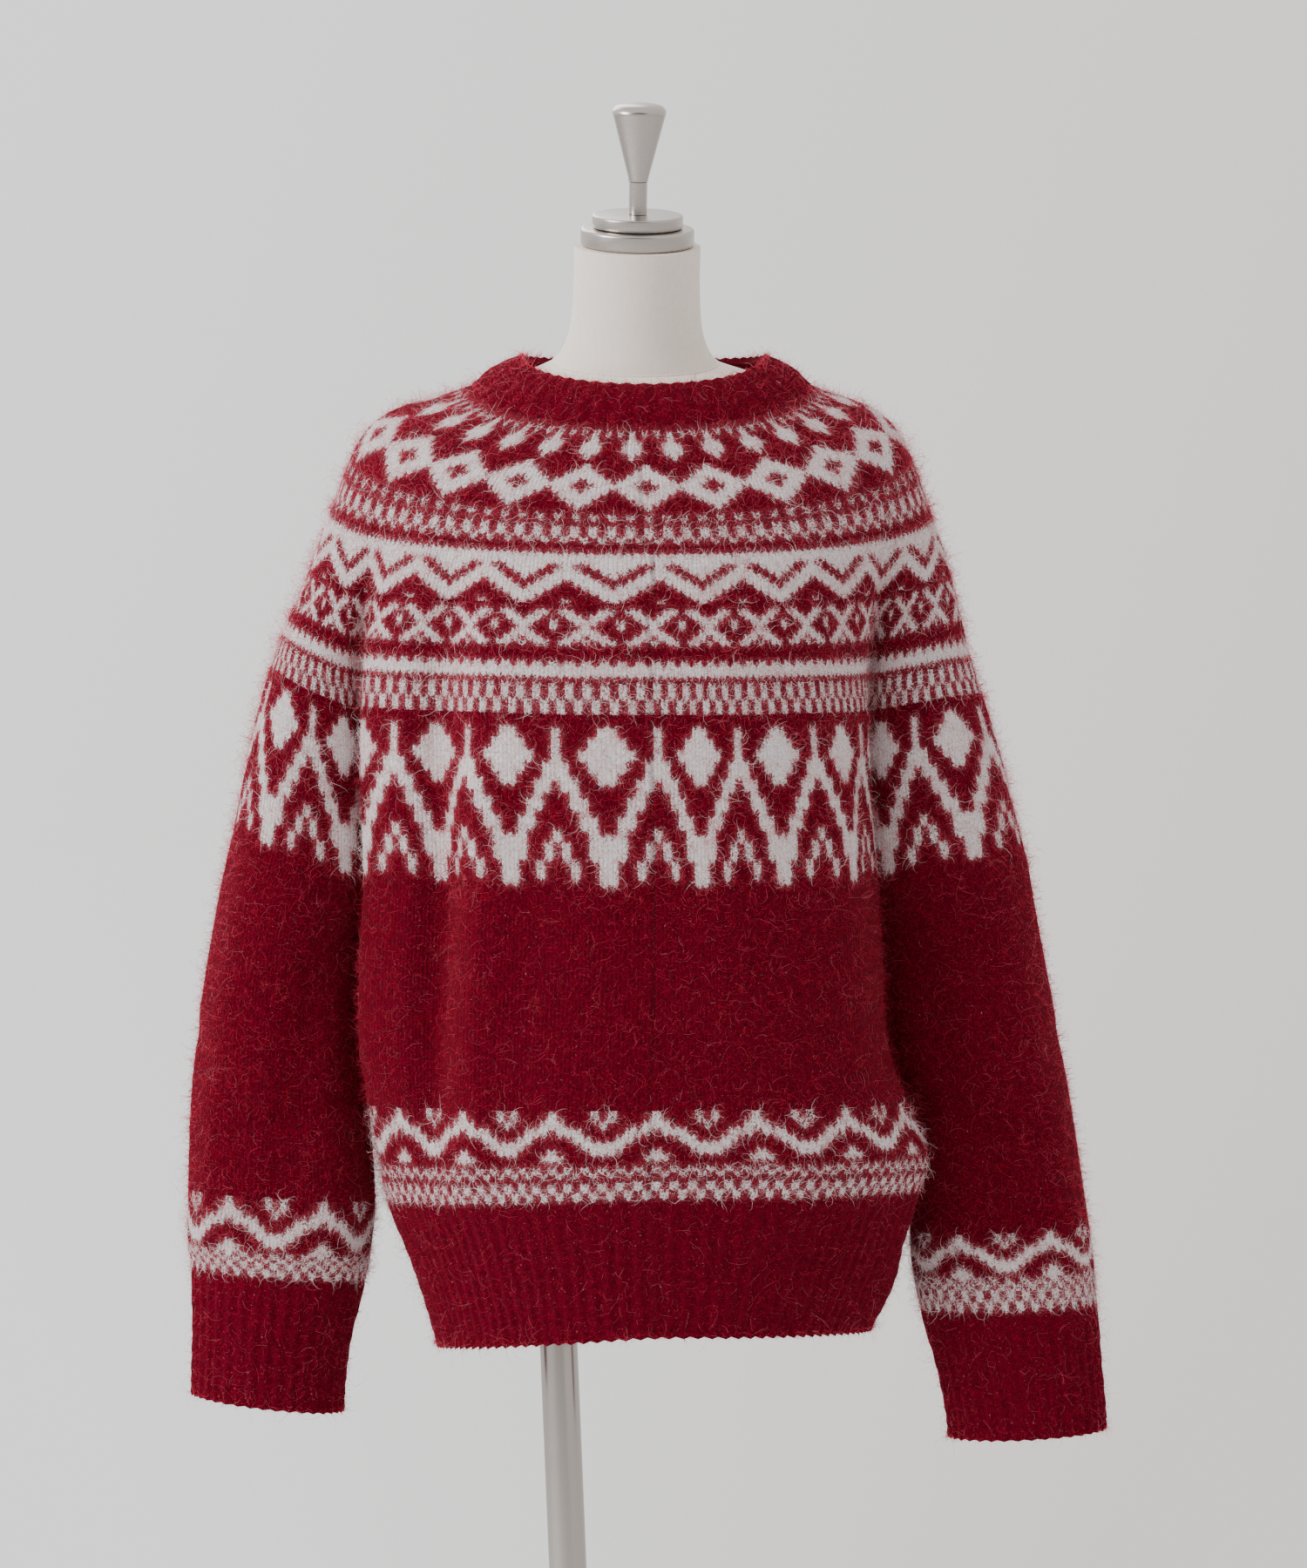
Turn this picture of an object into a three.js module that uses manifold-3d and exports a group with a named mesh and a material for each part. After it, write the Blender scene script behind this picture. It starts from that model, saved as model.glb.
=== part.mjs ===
// Nordic yoke sweater on a limbless dress form, with its pole and base.
// Millimetres, +Z up, the wearer's left is +X, the front faces -Y.
// The origin is the centre of the base's underside, on the floor.
import * as THREE from 'three';
import { mergeVertices } from 'three/addons/utils/BufferGeometryUtils.js';
import Module from 'manifold-3d';

const wasm = await Module();
wasm.setup();

// ---------------------------------------------------------------- sizes
const WALL = 3; // knit cloth, worn thickness
const SEAM = 0.3; // gap between neighbouring pieces
const TAU = 2 * Math.PI;

// stitches at the foot of the yoke: front and back panels, a sleeve, an underarm graft
const PANEL_STITCHES = 96;
const SLEEVE_STITCHES = 60;
const GRAFT_STITCHES = 12;
const HALF_PANEL = PANEL_STITCHES / 2;
const YOKE_STITCHES = 2 * (PANEL_STITCHES + SLEEVE_STITCHES);
const BODY_STITCHES = 2 * (PANEL_STITCHES + GRAFT_STITCHES);
const ARM_STITCHES = SLEEVE_STITCHES + GRAFT_STITCHES;
const HALF_GRAFT = GRAFT_STITCHES / 2;
const GRAFT_EASE = 1.8; // mm that the graft's two edges bow apart at its middle
const HALF_BODY = BODY_STITCHES / 2;
const OVAL_POWER = 0.92; // a little squarer than an ellipse

// The ring at the foot of the yoke, half by half, from the front centre to the back centre.
// at: stitches from the front centre, x and y: plan position, lift: height over the front centre.
const FOOT_PLUS = [
  { at: 0, x: 37, y: -122, lift: 0 },
  { at: 12, x: 90, y: -119, lift: 0 },
  { at: 25, x: 146, y: -98, lift: 2 },
  { at: 36, x: 176, y: -58, lift: 4 },
  { at: 42, x: 181, y: -34, lift: 6 },
  { at: 48, x: 173, y: -8, lift: 6 },
  { at: 54, x: 188, y: -33, lift: 6 },
  { at: 60, x: 214, y: -46, lift: 11 },
  { at: 67, x: 250, y: -42, lift: 18 },
  { at: 73, x: 275, y: -20, lift: 22 },
  { at: 78, x: 281, y: 4, lift: 24 },
  { at: 84, x: 273, y: 30, lift: 24 },
  { at: 92, x: 240, y: 48, lift: 16 },
  { at: 101, x: 200, y: 52, lift: 8 },
  { at: 108, x: 173, y: 40, lift: 8 },
  { at: 115, x: 181, y: 64, lift: 8 },
  { at: 124, x: 164, y: 90, lift: 8 },
  { at: 138, x: 114, y: 107, lift: 8 },
  { at: 156, x: 37, y: 113, lift: 8 },
];
const FOOT_MINUS = [
  { at: 0, x: 37, y: -122, lift: 0 },
  { at: 11, x: -22, y: -120, lift: 0 },
  { at: 22, x: -76, y: -106, lift: 2 },
  { at: 29, x: -99, y: -72, lift: 3 },
  { at: 35, x: -128, y: -68, lift: 4 },
  { at: 42, x: -156, y: -42, lift: 6 },
  { at: 48, x: -152, y: -12, lift: 6 },
  { at: 53.5, x: -167, y: -34, lift: 6 },
  { at: 61, x: -200, y: -46, lift: 17 },
  { at: 68, x: -229, y: -39, lift: 29 },
  { at: 74, x: -244, y: -17, lift: 36 },
  { at: 78, x: -247, y: 4, lift: 38 },
  { at: 84, x: -242, y: 27, lift: 37 },
  { at: 91, x: -222, y: 46, lift: 24 },
  { at: 100, x: -185, y: 53, lift: 8 },
  { at: 108, x: -152, y: 42, lift: 8 },
  { at: 114, x: -159, y: 66, lift: 8 },
  { at: 122, x: -141, y: 92, lift: 8 },
  { at: 136, x: -80, y: 109, lift: 8 },
  { at: 156, x: 37, y: 113, lift: 8 },
];

// Rings of the yoke from the neck to the foot. v: share of the way down, z: height at the front
// centre, x: its middle, right/left: reach, front/back: depth, rise: how much higher the sides and
// the back run, tuck: where the armpit creases lie as a share of the reach, lobe: how far the
// ring has taken the folded shape of the foot.
const YOKE_ROWS = [
  { v: 0, z: 1336, x: 27, right: 110, left: 114, front: 78, back: 74, riseR: 34, riseL: 34,
    riseB: 40, tuckR: 0.58, tuckL: 0.78, lobe: 0 },
  { v: 0.17, z: 1292, x: 29, right: 163, left: 183, front: 102, back: 98, riseR: 52, riseL: 52,
    riseB: 52, tuckR: 0.58, tuckL: 0.78, lobe: 0.02 },
  { v: 0.31, z: 1250, x: 31, right: 188, left: 213, front: 116, back: 110, riseR: 31, riseL: 35,
    riseB: 50, tuckR: 0.58, tuckL: 0.78, lobe: 0.12 },
  { v: 0.47, z: 1205, x: 33, right: 201, left: 233, front: 124, back: 114, riseR: 26, riseL: 31,
    riseB: 40, tuckR: 0.58, tuckL: 0.77, lobe: 0.45 },
  { v: 0.58, z: 1173, x: 35, right: 208, left: 248, front: 127, back: 114, riseR: 19, riseL: 34,
    riseB: 34, tuckR: 0.58, tuckL: 0.75, lobe: 0.7 },
  { v: 0.77, z: 1113, x: 36, right: 226, left: 267, front: 126, back: 113, riseR: 18, riseL: 37,
    riseB: 22, tuckR: 0.57, tuckL: 0.71, lobe: 0.93 },
  { v: 1, z: 1032, x: 37, right: 244, left: 284, front: 122, back: 113, riseR: 24, riseL: 38,
    riseB: 8, tuckR: 0.557, tuckL: 0.665, lobe: 1 },
];

// Rings of the body from the foot of the yoke to the hem. dip lowers the -X side, frontUp raises
// the front, pinch draws in the side behind the front edge on +X, where the sleeve hangs.
const BODY_ROWS = [
  { z: 1032, x: 37, right: 144, left: 193, front: 122, back: 113, lobe: 1, dip: 0, frontUp: 0,
    pinch: 0 },
  { z: 985, x: 37, right: 148, left: 196, front: 121, back: 114, lobe: 1, dip: 0, frontUp: 0,
    pinch: 0 },
  { z: 935, x: 36, right: 153, left: 196, front: 122, back: 115, lobe: 0.9, dip: 1, frontUp: 0,
    pinch: 2 },
  { z: 890, x: 35, right: 171, left: 190, front: 123, back: 116, lobe: 0.6, dip: 3, frontUp: 2,
    pinch: 7 },
  { z: 858, x: 35, right: 184, left: 185, front: 121, back: 115, lobe: 0.3, dip: 6, frontUp: 3,
    pinch: 17 },
  { z: 834, x: 34, right: 181, left: 178, front: 117, back: 112, lobe: 0.15, dip: 8, frontUp: 4,
    pinch: 15 },
  { z: 802, x: 34, right: 171, left: 164, front: 111, back: 106, lobe: 0.06, dip: 9, frontUp: 6,
    pinch: 6 },
  { z: 772, x: 34, right: 158, left: 153, front: 106, back: 101, lobe: 0, dip: 10, frontUp: 7,
    pinch: 0 },
  { z: 742, x: 34, right: 143, left: 144, front: 103, back: 98, lobe: 0, dip: 11, frontUp: 8,
    pinch: 0 },
];
const HEM_ROW = 5; // the rib starts at this row

// Rings of the sleeves below the yoke. wide/deep: half sizes, slope: how much the outer edge is
// raised over the middle.
const SLEEVE_LEFT = [
  { z: 1000, x: 234.5, y: 11, wide: 55, deep: 46, slope: 12 },
  { z: 940, x: 244, y: 12, wide: 58, deep: 45, slope: 6 },
  { z: 880, x: 256.5, y: 14, wide: 56.5, deep: 43, slope: 4 },
  { z: 830, x: 262.5, y: 14, wide: 58, deep: 40, slope: 3 },
  { z: 790, x: 265.5, y: 9, wide: 60.5, deep: 37, slope: 2 },
  { z: 754, x: 270, y: 3, wide: 58.5, deep: 34.5, slope: 2 },
  { z: 722, x: 275.5, y: -2, wide: 54.5, deep: 33, slope: 2 },
  { z: 690, x: 280, y: -6, wide: 52.5, deep: 32, slope: 2 },
  { z: 674, x: 281, y: -7, wide: 52, deep: 32, slope: 3 },
];
const SLEEVE_RIGHT = [
  { z: 1004, x: -208.5, y: 8, wide: 49.5, deep: 47, slope: 18 },
  { z: 940, x: -215, y: 8, wide: 55, deep: 45, slope: 8 },
  { z: 880, x: -215.5, y: 6, wide: 60, deep: 43, slope: 5 },
  { z: 830, x: -214.5, y: 3, wide: 62, deep: 40, slope: 4 },
  { z: 796, x: -216, y: 1, wide: 60.5, deep: 37, slope: 4 },
  { z: 777, x: -216.5, y: -1, wide: 57.5, deep: 34.5, slope: 4 },
  { z: 742, x: -220.3, y: -4, wide: 52.2, deep: 33, slope: 4 },
  { z: 712, x: -222.5, y: -6, wide: 50.5, deep: 32, slope: 4 },
  { z: 694, x: -223, y: -7, wide: 50, deep: 31.5, slope: 6 },
];
const CUFF_ROW = 6; // the cuff's rib starts at this row

// The neckband, from its free edge down to the yoke.
const BAND_ROWS = [
  { z: 1364, x: 27, right: 80, left: 81, front: 62, back: 64, rise: 26, riseB: 30 },
  { z: 1360, x: 27, right: 86, left: 88, front: 67, back: 68, rise: 27, riseB: 31 },
  { z: 1350, x: 27, right: 98, left: 101, front: 73, back: 72, rise: 31, riseB: 36 },
  { z: 1336, x: 27, right: 110, left: 114, front: 78, back: 74, rise: 34, riseB: 40 },
];

// The form: level rings of the torso under the neck seam. rise lifts the sides, riseB the back.
const TORSO_ROWS = [
  { z: 1358, x: 24, right: 76, left: 78, front: 58, back: 60, rise: 20, riseB: 27 },
  { z: 1331, x: 27, right: 102, left: 106, front: 71, back: 67, rise: 33, riseB: 38 },
  { z: 1290, x: 28, right: 153, left: 166, front: 94, back: 90, rise: 47, riseB: 47 },
  { z: 1247, x: 28, right: 168, left: 186, front: 108, back: 101, rise: 28, riseB: 42 },
  { z: 1202, x: 27, right: 152, left: 160, front: 115, back: 103, rise: 22, riseB: 30 },
  { z: 1150, x: 26, right: 138, left: 144, front: 116, back: 97, rise: 12, riseB: 16 },
  { z: 1100, x: 26, right: 134, left: 138, front: 112, back: 92, rise: 6, riseB: 8 },
  { z: 1030, x: 26, right: 126, left: 130, front: 98, back: 84, rise: 0, riseB: 0 },
  { z: 960, x: 26, right: 118, left: 124, front: 86, back: 78, rise: 0, riseB: 0 },
  { z: 890, x: 27, right: 124, left: 128, front: 88, back: 84, rise: 0, riseB: 0 },
  { z: 830, x: 29, right: 134, left: 134, front: 93, back: 92, rise: 0, riseB: 0 },
  { z: 796, x: 30, right: 134, left: 132, front: 92, back: 92, rise: 0, riseB: 0 },
];

// The neck and its metal cap stand on one axis, which leans forward.
const NECK_FOOT = new THREE.Vector3(21, 2.5, 1385);
const NECK_TILT = 17; // degrees from upright, towards the front
const NECK_LEAN = 1; // degrees towards the wearer's left
const NECK_SEAM = { s: 0, wide: 55, deep: 50.5 };
const NECK_ROWS = [
  { ...NECK_SEAM, s: SEAM },
  { s: 6, wide: 50.5, deep: 48.5 },
  { s: 14, wide: 46.5, deep: 46 },
  { s: 26, wide: 43.5, deep: 44.5 },
  { s: 52, wide: 41.8, deep: 43.5 },
  { s: 78, wide: 41.8, deep: 43.5 },
];
const CAP = { radius: 37.5, start: 78.3, height: 11.5, round: 2 };
const DISC = { radius: 30, start: 90.1, height: 8.5, round: 1.5 };
const STEM = { radius: 6, start: 98.9, height: 21 };
const FINIAL = { foot: 6.6, lip: 2, rim: 17.6, start: 120.2, cone: 43.5, band: 3, dome: 4.5 };

const BASE = { radius: 165, height: 14, round: 4 };
const SOCKET = { radius: 24, height: 22, round: 3, gap: 0.4, boreFrom: -20, boreTo: 100 };
const POLE = { radius: 12.5, lean: 2.36, top: 900, foot: 0.9 };
const BORE = { gap: 0.5, foot: 700, top: 906 };
const ROUND_SIDES = 40;
const BASE_SIDES = 64;
const BAND_SIDES = 52;
const TORSO_SIDES = 48;

// ---------------------------------------------------------------- looks
const CLOTH_RED = 0x7e0b20;
const FORM_LINEN = 0xd8cfc2;
const STEEL = 0xbab2aa;

function redKnit() {
  return new THREE.MeshStandardMaterial({ color: CLOTH_RED, roughness: 0.95, metalness: 0 });
}

function linen() {
  return new THREE.MeshStandardMaterial({ color: FORM_LINEN, roughness: 0.85, metalness: 0 });
}

function satinSteel() {
  return new THREE.MeshStandardMaterial({ color: STEEL, roughness: 0.35, metalness: 1 });
}

// ---------------------------------------------------------------- curves
function mix(a, b, t) {
  return a + (b - a) * t;
}

function oval(value) {
  return Math.sign(value) * Math.abs(value) ** OVAL_POWER;
}

// Catmull-Rom through unevenly spaced knots: `keys` rises, and a closed curve has a period.
function along(keys, points, place, period = 0) {
  const n = keys.length;
  const at = period && place < keys[0] ? place + period : place;
  const last = period ? n - 1 : n - 2;
  let i = 0;
  while (i < last && at >= keys[i + 1]) i += 1;
  const key = (k) => (period ? keys[(k + n) % n] + period * Math.floor(k / n) : keys[k]);
  const point = (k) => points[(k + n) % n];
  const slope = (k) => {
    const lo = period ? k - 1 : Math.max(k - 1, 0);
    const hi = period ? k + 1 : Math.min(k + 1, n - 1);
    return point(hi).clone().sub(point(lo)).divideScalar(key(hi) - key(lo));
  };
  const span = key(i + 1) - key(i);
  const t = (at - key(i)) / span;
  const [h0, h1] = [2 * t ** 3 - 3 * t ** 2 + 1, t ** 3 - 2 * t ** 2 + t];
  const [h2, h3] = [3 * t ** 2 - 2 * t ** 3, t ** 3 - t ** 2];
  return new THREE.Vector3()
    .addScaledVector(point(i), h0)
    .addScaledVector(slope(i), h1 * span)
    .addScaledVector(point(i + 1), h2)
    .addScaledVector(slope(i + 1), h3 * span);
}

// A closed ring of stations: the right half runs forward from the front centre, the left half back.
function roundTable(right, left, period) {
  const back = left.slice(1, -1).reverse();
  return [
    ...right.map((row) => ({ ...row, side: 1, half: row.at })),
    ...back.map((row) => ({ ...row, side: -1, half: row.at, at: period - row.at })),
  ];
}

// ---------------------------------------------------------------- yoke
const FOOT = roundTable(FOOT_PLUS, FOOT_MINUS, YOKE_STITCHES);
const FOOT_ROW = YOKE_ROWS[YOKE_ROWS.length - 1];

// Moves the armpit crease from its place on the foot to the share `tuck` of the reach.
function tucked(share, from, tuck) {
  if (share < from) return (share * tuck) / from;
  return tuck + ((share - from) * (1 - tuck)) / (1 - from);
}

function yokeStation(row, st) {
  const turn = (TAU * st.half) / YOKE_STITCHES;
  const reach = st.side > 0 ? row.right : row.left;
  const rise = st.side > 0 ? row.riseR : row.riseL;
  const footReach = st.side > 0 ? FOOT_ROW.right : FOOT_ROW.left;
  const footTuck = st.side > 0 ? FOOT_ROW.tuckR : FOOT_ROW.tuckL;
  const tuck = st.side > 0 ? row.tuckR : row.tuckL;
  const share = tucked(Math.abs(st.x - FOOT_ROW.x) / footReach, footTuck, tuck);
  const depth = st.y < 0 ? row.front : row.back;
  const footDepth = st.y < 0 ? FOOT_ROW.front : FOOT_ROW.back;
  const cos = Math.cos(turn);
  const x = mix(oval(Math.sin(turn)), share, row.lobe);
  const plainY = -oval(cos) * (cos > 0 ? row.front : row.back);
  const y = mix(plainY, (depth * st.y) / footDepth, row.lobe);
  const plainLift = cos > 0 ? rise * (1 - cos) : mix(rise, row.riseB, -cos);
  const footLift = (st.lift / FOOT_ROW[st.side > 0 ? 'riseR' : 'riseL']) * rise;
  const backLift = Math.max(0, -cos) * (row.riseB - FOOT_ROW.riseB);
  const z = row.z + mix(plainLift, footLift + backLift, row.lobe);
  return new THREE.Vector3(row.x + st.side * reach * x, y, z);
}

const YOKE_KEYS = FOOT.map((st) => st.at);
const YOKE_LEVELS = YOKE_ROWS.map((row) => row.v);
const YOKE_LINES = FOOT.map((st) => YOKE_ROWS.map((row) => yokeStation(row, st)));

function yokeSurface(at, v) {
  const ring = YOKE_LINES.map((line) => along(YOKE_LEVELS, line, v));
  return along(YOKE_KEYS, ring, at, YOKE_STITCHES);
}

// The middle of the underarm graft, drawn `ease` towards the sleeve.
function graftMiddle(rows, at, ease) {
  const [a, b] = rows.filter((row) => [HALF_PANEL, HALF_PANEL + SLEEVE_STITCHES].includes(row.at));
  const x = (a.x + b.x) / 2;
  return { at, x: x + Math.sign(x) * ease, y: (a.y + b.y) / 2, lift: (a.lift + b.lift) / 2 };
}

// ---------------------------------------------------------------- body
function bodyTable(rows) {
  const front = rows.filter((row) => row.at <= HALF_PANEL);
  const back = rows.filter((row) => row.at >= HALF_PANEL + SLEEVE_STITCHES);
  const shift = SLEEVE_STITCHES - GRAFT_STITCHES;
  const middle = graftMiddle(rows, HALF_PANEL + HALF_GRAFT, -GRAFT_EASE / 2);
  return [...front, middle, ...back.map((row) => ({ ...row, at: row.at - shift }))];
}

const WAIST = roundTable(bodyTable(FOOT_PLUS), bodyTable(FOOT_MINUS), BODY_STITCHES);
const BODY_TOP = BODY_ROWS[0];

function bodyStation(row, st) {
  const turn = (TAU * st.half) / BODY_STITCHES;
  const reach = st.side > 0 ? row.right : row.left;
  const topReach = st.side > 0 ? BODY_TOP.right : BODY_TOP.left;
  const share = Math.abs(st.x - BODY_TOP.x) / topReach;
  const cos = Math.cos(turn);
  const depth = st.y < 0 ? row.front : row.back;
  const topDepth = st.y < 0 ? BODY_TOP.front : BODY_TOP.back;
  const x = mix(oval(Math.sin(turn)), share, row.lobe);
  const y = mix(-oval(cos) * (cos > 0 ? row.front : row.back), (depth * st.y) / topDepth, row.lobe);
  const lift = row === BODY_TOP ? st.lift : 0;
  const dip = st.side < 0 ? row.dip * Math.sin(turn) : 0;
  const raise = row.frontUp * Math.max(0, cos);
  const behind = st.side > 0 && st.half >= HALF_PANEL && st.half < HALF_BODY - HALF_PANEL / 2;
  const drawn = behind ? row.pinch : 0;
  return new THREE.Vector3(row.x + st.side * reach * x - drawn, y, row.z + lift - dip + raise);
}

const BODY_KEYS = WAIST.map((st) => st.at);
const BODY_LINES = WAIST.map((st) => BODY_ROWS.map((row) => bodyStation(row, st)));
const BODY_LEVELS = BODY_ROWS.map((row, i) => i);

function bodySurface(at, level) {
  const ring = BODY_LINES.map((line) => along(BODY_LEVELS, line, level));
  return along(BODY_KEYS, ring, at, BODY_STITCHES);
}

// ---------------------------------------------------------------- sleeves
// Stitches run from the middle of the underarm graft, round the front first.
function sleeveTable(foot) {
  const last = HALF_PANEL + SLEEVE_STITCHES;
  const arc = foot.filter((row) => row.at >= HALF_PANEL && row.at <= last);
  const moved = arc.map((row) => ({ ...row, at: row.at - HALF_PANEL + HALF_GRAFT }));
  return [graftMiddle(foot, 0, GRAFT_EASE), ...moved];
}

function sleeveStation(row, st, side) {
  const turn = (TAU * st.at) / ARM_STITCHES;
  const out = -Math.cos(turn);
  const x = row.x + side * row.wide * out;
  return new THREE.Vector3(x, row.y - row.deep * Math.sin(turn), row.z + row.slope * out);
}

function sleeveLines(foot, rows, side) {
  const top = sleeveTable(foot);
  return top.map((st) => {
    const start = new THREE.Vector3(st.x, st.y, FOOT_ROW.z + st.lift);
    return [start, ...rows.map((row) => sleeveStation(row, st, side))];
  });
}

function sleeveSurface(foot, rows, side) {
  const keys = sleeveTable(foot).map((st) => st.at);
  const lines = sleeveLines(foot, rows, side);
  const levels = lines[0].map((p, i) => i);
  return (at, level) => {
    const ring = lines.map((line) => along(levels, line, level));
    const point = along(keys, ring, at, ARM_STITCHES);
    if (level < 1) point.x += side * SEAM * (1 - level);
    return point;
  };
}

// ---------------------------------------------------------------- plain rings
function levelPoints(rows, turn) {
  const [sin, cos] = [Math.sin(turn), Math.cos(turn)];
  return rows.map((row) => {
    const reach = sin > 0 ? row.right : row.left;
    const depth = cos > 0 ? row.front : row.back;
    const lift = cos > 0 ? row.rise * (1 - cos) : mix(row.rise, row.riseB, -cos);
    return new THREE.Vector3(row.x + reach * oval(sin), -depth * oval(cos), row.z + lift);
  });
}

function levelRing(rows, turn, level) {
  return along(rows.map((row, k) => k), levelPoints(rows, turn), level);
}

// A point of a ring across the neck's axis, in the part's own frame.
function neckPoint({ s, wide, deep }, turn) {
  return new THREE.Vector3(wide * Math.sin(turn), -deep * Math.cos(turn), s)
    .applyAxisAngle(new THREE.Vector3(1, 0, 0), THREE.MathUtils.degToRad(NECK_TILT))
    .applyAxisAngle(new THREE.Vector3(0, 1, 0), THREE.MathUtils.degToRad(NECK_LEAN))
    .add(NECK_FOOT);
}

function torsoPoint(turn, level) {
  const points = [neckPoint(NECK_SEAM, turn), ...levelPoints(TORSO_ROWS, turn)];
  return along(points.map((p, k) => k), points, level);
}

// ---------------------------------------------------------------- solids
function gridGeometry(points, faces) {
  const geometry = new THREE.BufferGeometry();
  const flat = points.flatMap((p) => [p.x, p.y, p.z]);
  geometry.setAttribute('position', new THREE.Float32BufferAttribute(flat, 3));
  geometry.setIndex(faces);
  return geometry;
}

// The way out of a surface; at a level edge it is the way out of that ring in plan.
function wayOut(surface, at, level, { first, last, period, levelEdges }) {
  const step = 0.02;
  const round = surface((at + step) % period, level)
    .sub(surface((at - step + period) % period, level));
  if (levelEdges.includes(level)) return new THREE.Vector3(round.y, -round.x, 0).normalize();
  const low = surface(at, Math.min(level + step, last));
  const down = low.sub(surface(at, Math.max(level - step, first)));
  return down.cross(round).normalize();
}

// A tube of cloth: `surface(at, level)` is its outer face, and the wall lies inside it.
function clothTube(surface, ats, levels, period, levelEdges = []) {
  const outer = [];
  const inner = [];
  const span = { first: levels[0], last: levels[levels.length - 1], period, levelEdges };
  for (const level of levels) {
    for (const at of ats) {
      const here = surface(at, level);
      const out = wayOut(surface, at, level, span);
      outer.push(here);
      inner.push(here.clone().addScaledVector(out, -WALL));
    }
  }
  const n = ats.length;
  const m = levels.length;
  const faces = [];
  const quad = (a, b, c, d) => faces.push(a, b, c, a, c, d);
  for (let j = 0; j < m - 1; j += 1) {
    for (let i = 0; i < n; i += 1) {
      const [a, b] = [j * n + i, j * n + ((i + 1) % n)];
      const inside = n * m;
      quad(a, a + n, b + n, b);
      quad(inside + a, inside + b, inside + b + n, inside + a + n);
    }
  }
  for (let i = 0; i < n; i += 1) {
    const next = (i + 1) % n;
    const foot = (m - 1) * n;
    quad(i, next, n * m + next, n * m + i);
    quad(foot + next, foot + i, n * m + foot + i, n * m + foot + next);
  }
  return gridGeometry([...outer, ...inner], faces);
}

// A solid through closed rings, flat at both ends.
function ringSolid(rings) {
  const n = rings[0].length;
  const m = rings.length;
  const points = rings.flat();
  const faces = [];
  for (let j = 0; j < m - 1; j += 1) {
    for (let i = 0; i < n; i += 1) {
      const [a, b] = [j * n + i, j * n + ((i + 1) % n)];
      faces.push(a, b, b + n, a, b + n, a + n);
    }
  }
  const middle = (ring) => ring
    .reduce((sum, p) => sum.add(p), new THREE.Vector3()).divideScalar(ring.length);
  points.push(middle(rings[0]), middle(rings[m - 1]));
  for (let i = 0; i < n; i += 1) {
    const next = (i + 1) % n;
    faces.push(n * m, next, i);
    faces.push(n * m + 1, (m - 1) * n + i, (m - 1) * n + next);
  }
  return gridGeometry(points, faces);
}

// Every station and `parts - 1` places between each pair of them.
function divided(keys, period, parts) {
  const out = [];
  keys.forEach((key, i) => {
    const next = i + 1 < keys.length ? keys[i + 1] : keys[0] + period;
    for (let k = 0; k < parts; k += 1) out.push((key + ((next - key) * k) / parts) % period);
  });
  return out;
}

function spread(from, to, count) {
  return Array.from({ length: count + 1 }, (unused, i) => mix(from, to, i / count));
}

function turned(profile, sides = ROUND_SIDES) {
  const points = profile.map(([r, z]) => new THREE.Vector2(r, z));
  const geometry = new THREE.LatheGeometry(points, sides);
  geometry.rotateX(Math.PI / 2);
  return geometry;
}

// A disc with rounded edges, standing on z = 0.
function discProfile({ radius, height, round }) {
  return [
    [0, 0], [radius - round, 0], [radius, round], [radius, height - round],
    [radius - round * 0.3, height - round * 0.3], [radius - round, height], [0, height],
  ];
}

function toSolid(geometry) {
  const plain = geometry.clone();
  plain.deleteAttribute('normal');
  plain.deleteAttribute('uv');
  const merged = mergeVertices(plain, 1e-4);
  const mesh = new wasm.Mesh({
    numProp: 3,
    vertProperties: new Float32Array(merged.attributes.position.array),
    triVerts: new Uint32Array(merged.index.array),
  });
  return new wasm.Manifold(mesh);
}

function fromSolid(solid) {
  const { vertProperties, triVerts } = solid.getMesh();
  const geometry = new THREE.BufferGeometry();
  geometry.setAttribute('position', new THREE.BufferAttribute(vertProperties, 3));
  geometry.setIndex(new THREE.BufferAttribute(triVerts, 1));
  return geometry;
}

function part(name, geometry, material) {
  const plain = geometry.clone();
  plain.deleteAttribute('uv');
  plain.deleteAttribute('normal');
  const merged = mergeVertices(plain, 1e-4);
  merged.computeVertexNormals();
  const mesh = new THREE.Mesh(merged, material);
  mesh.name = name;
  return mesh;
}

// ---------------------------------------------------------------- garment
const YOKE_CUTS = [0, 0.08, 0.17, 0.25, 0.34, 0.43, 0.52, 0.62, 0.72, 0.82, 0.92, 1];
const BODY_CUTS = [0, 0.5, 1, 1.5, 2, 2.5, 3, 3.5, 4, 4.5, 5];
const SLEEVE_CUTS = [0, 0.4, 1, 1.5, 2, 2.5, 3, 4, 5, 6];
const RIB_PARTS = 3; // steps down each rib

// The piece's first row starts one seam gap lower along the cloth.
function lowered(surface, drop = SEAM) {
  return (at, level) => surface(at, level).add(new THREE.Vector3(0, 0, -drop));
}

function neckband() {
  const surface = (at, level) => levelRing(BAND_ROWS, at, level).add(
    new THREE.Vector3(0, 0, SEAM),
  );
  const ats = spread(0, TAU, BAND_SIDES).slice(0, -1);
  return part('neckband', clothTube(surface, ats, [0, 1, 2, 3], TAU), redKnit());
}

function yoke() {
  const ats = divided(YOKE_KEYS, YOKE_STITCHES, 2);
  return part('yoke', clothTube(yokeSurface, ats, YOKE_CUTS, YOKE_STITCHES, [1]), redKnit());
}

function body() {
  const ats = divided(BODY_KEYS, BODY_STITCHES, 2);
  const geometry = clothTube(lowered(bodySurface), ats, BODY_CUTS, BODY_STITCHES, [0, HEM_ROW]);
  return part('body', geometry, redKnit());
}

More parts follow.
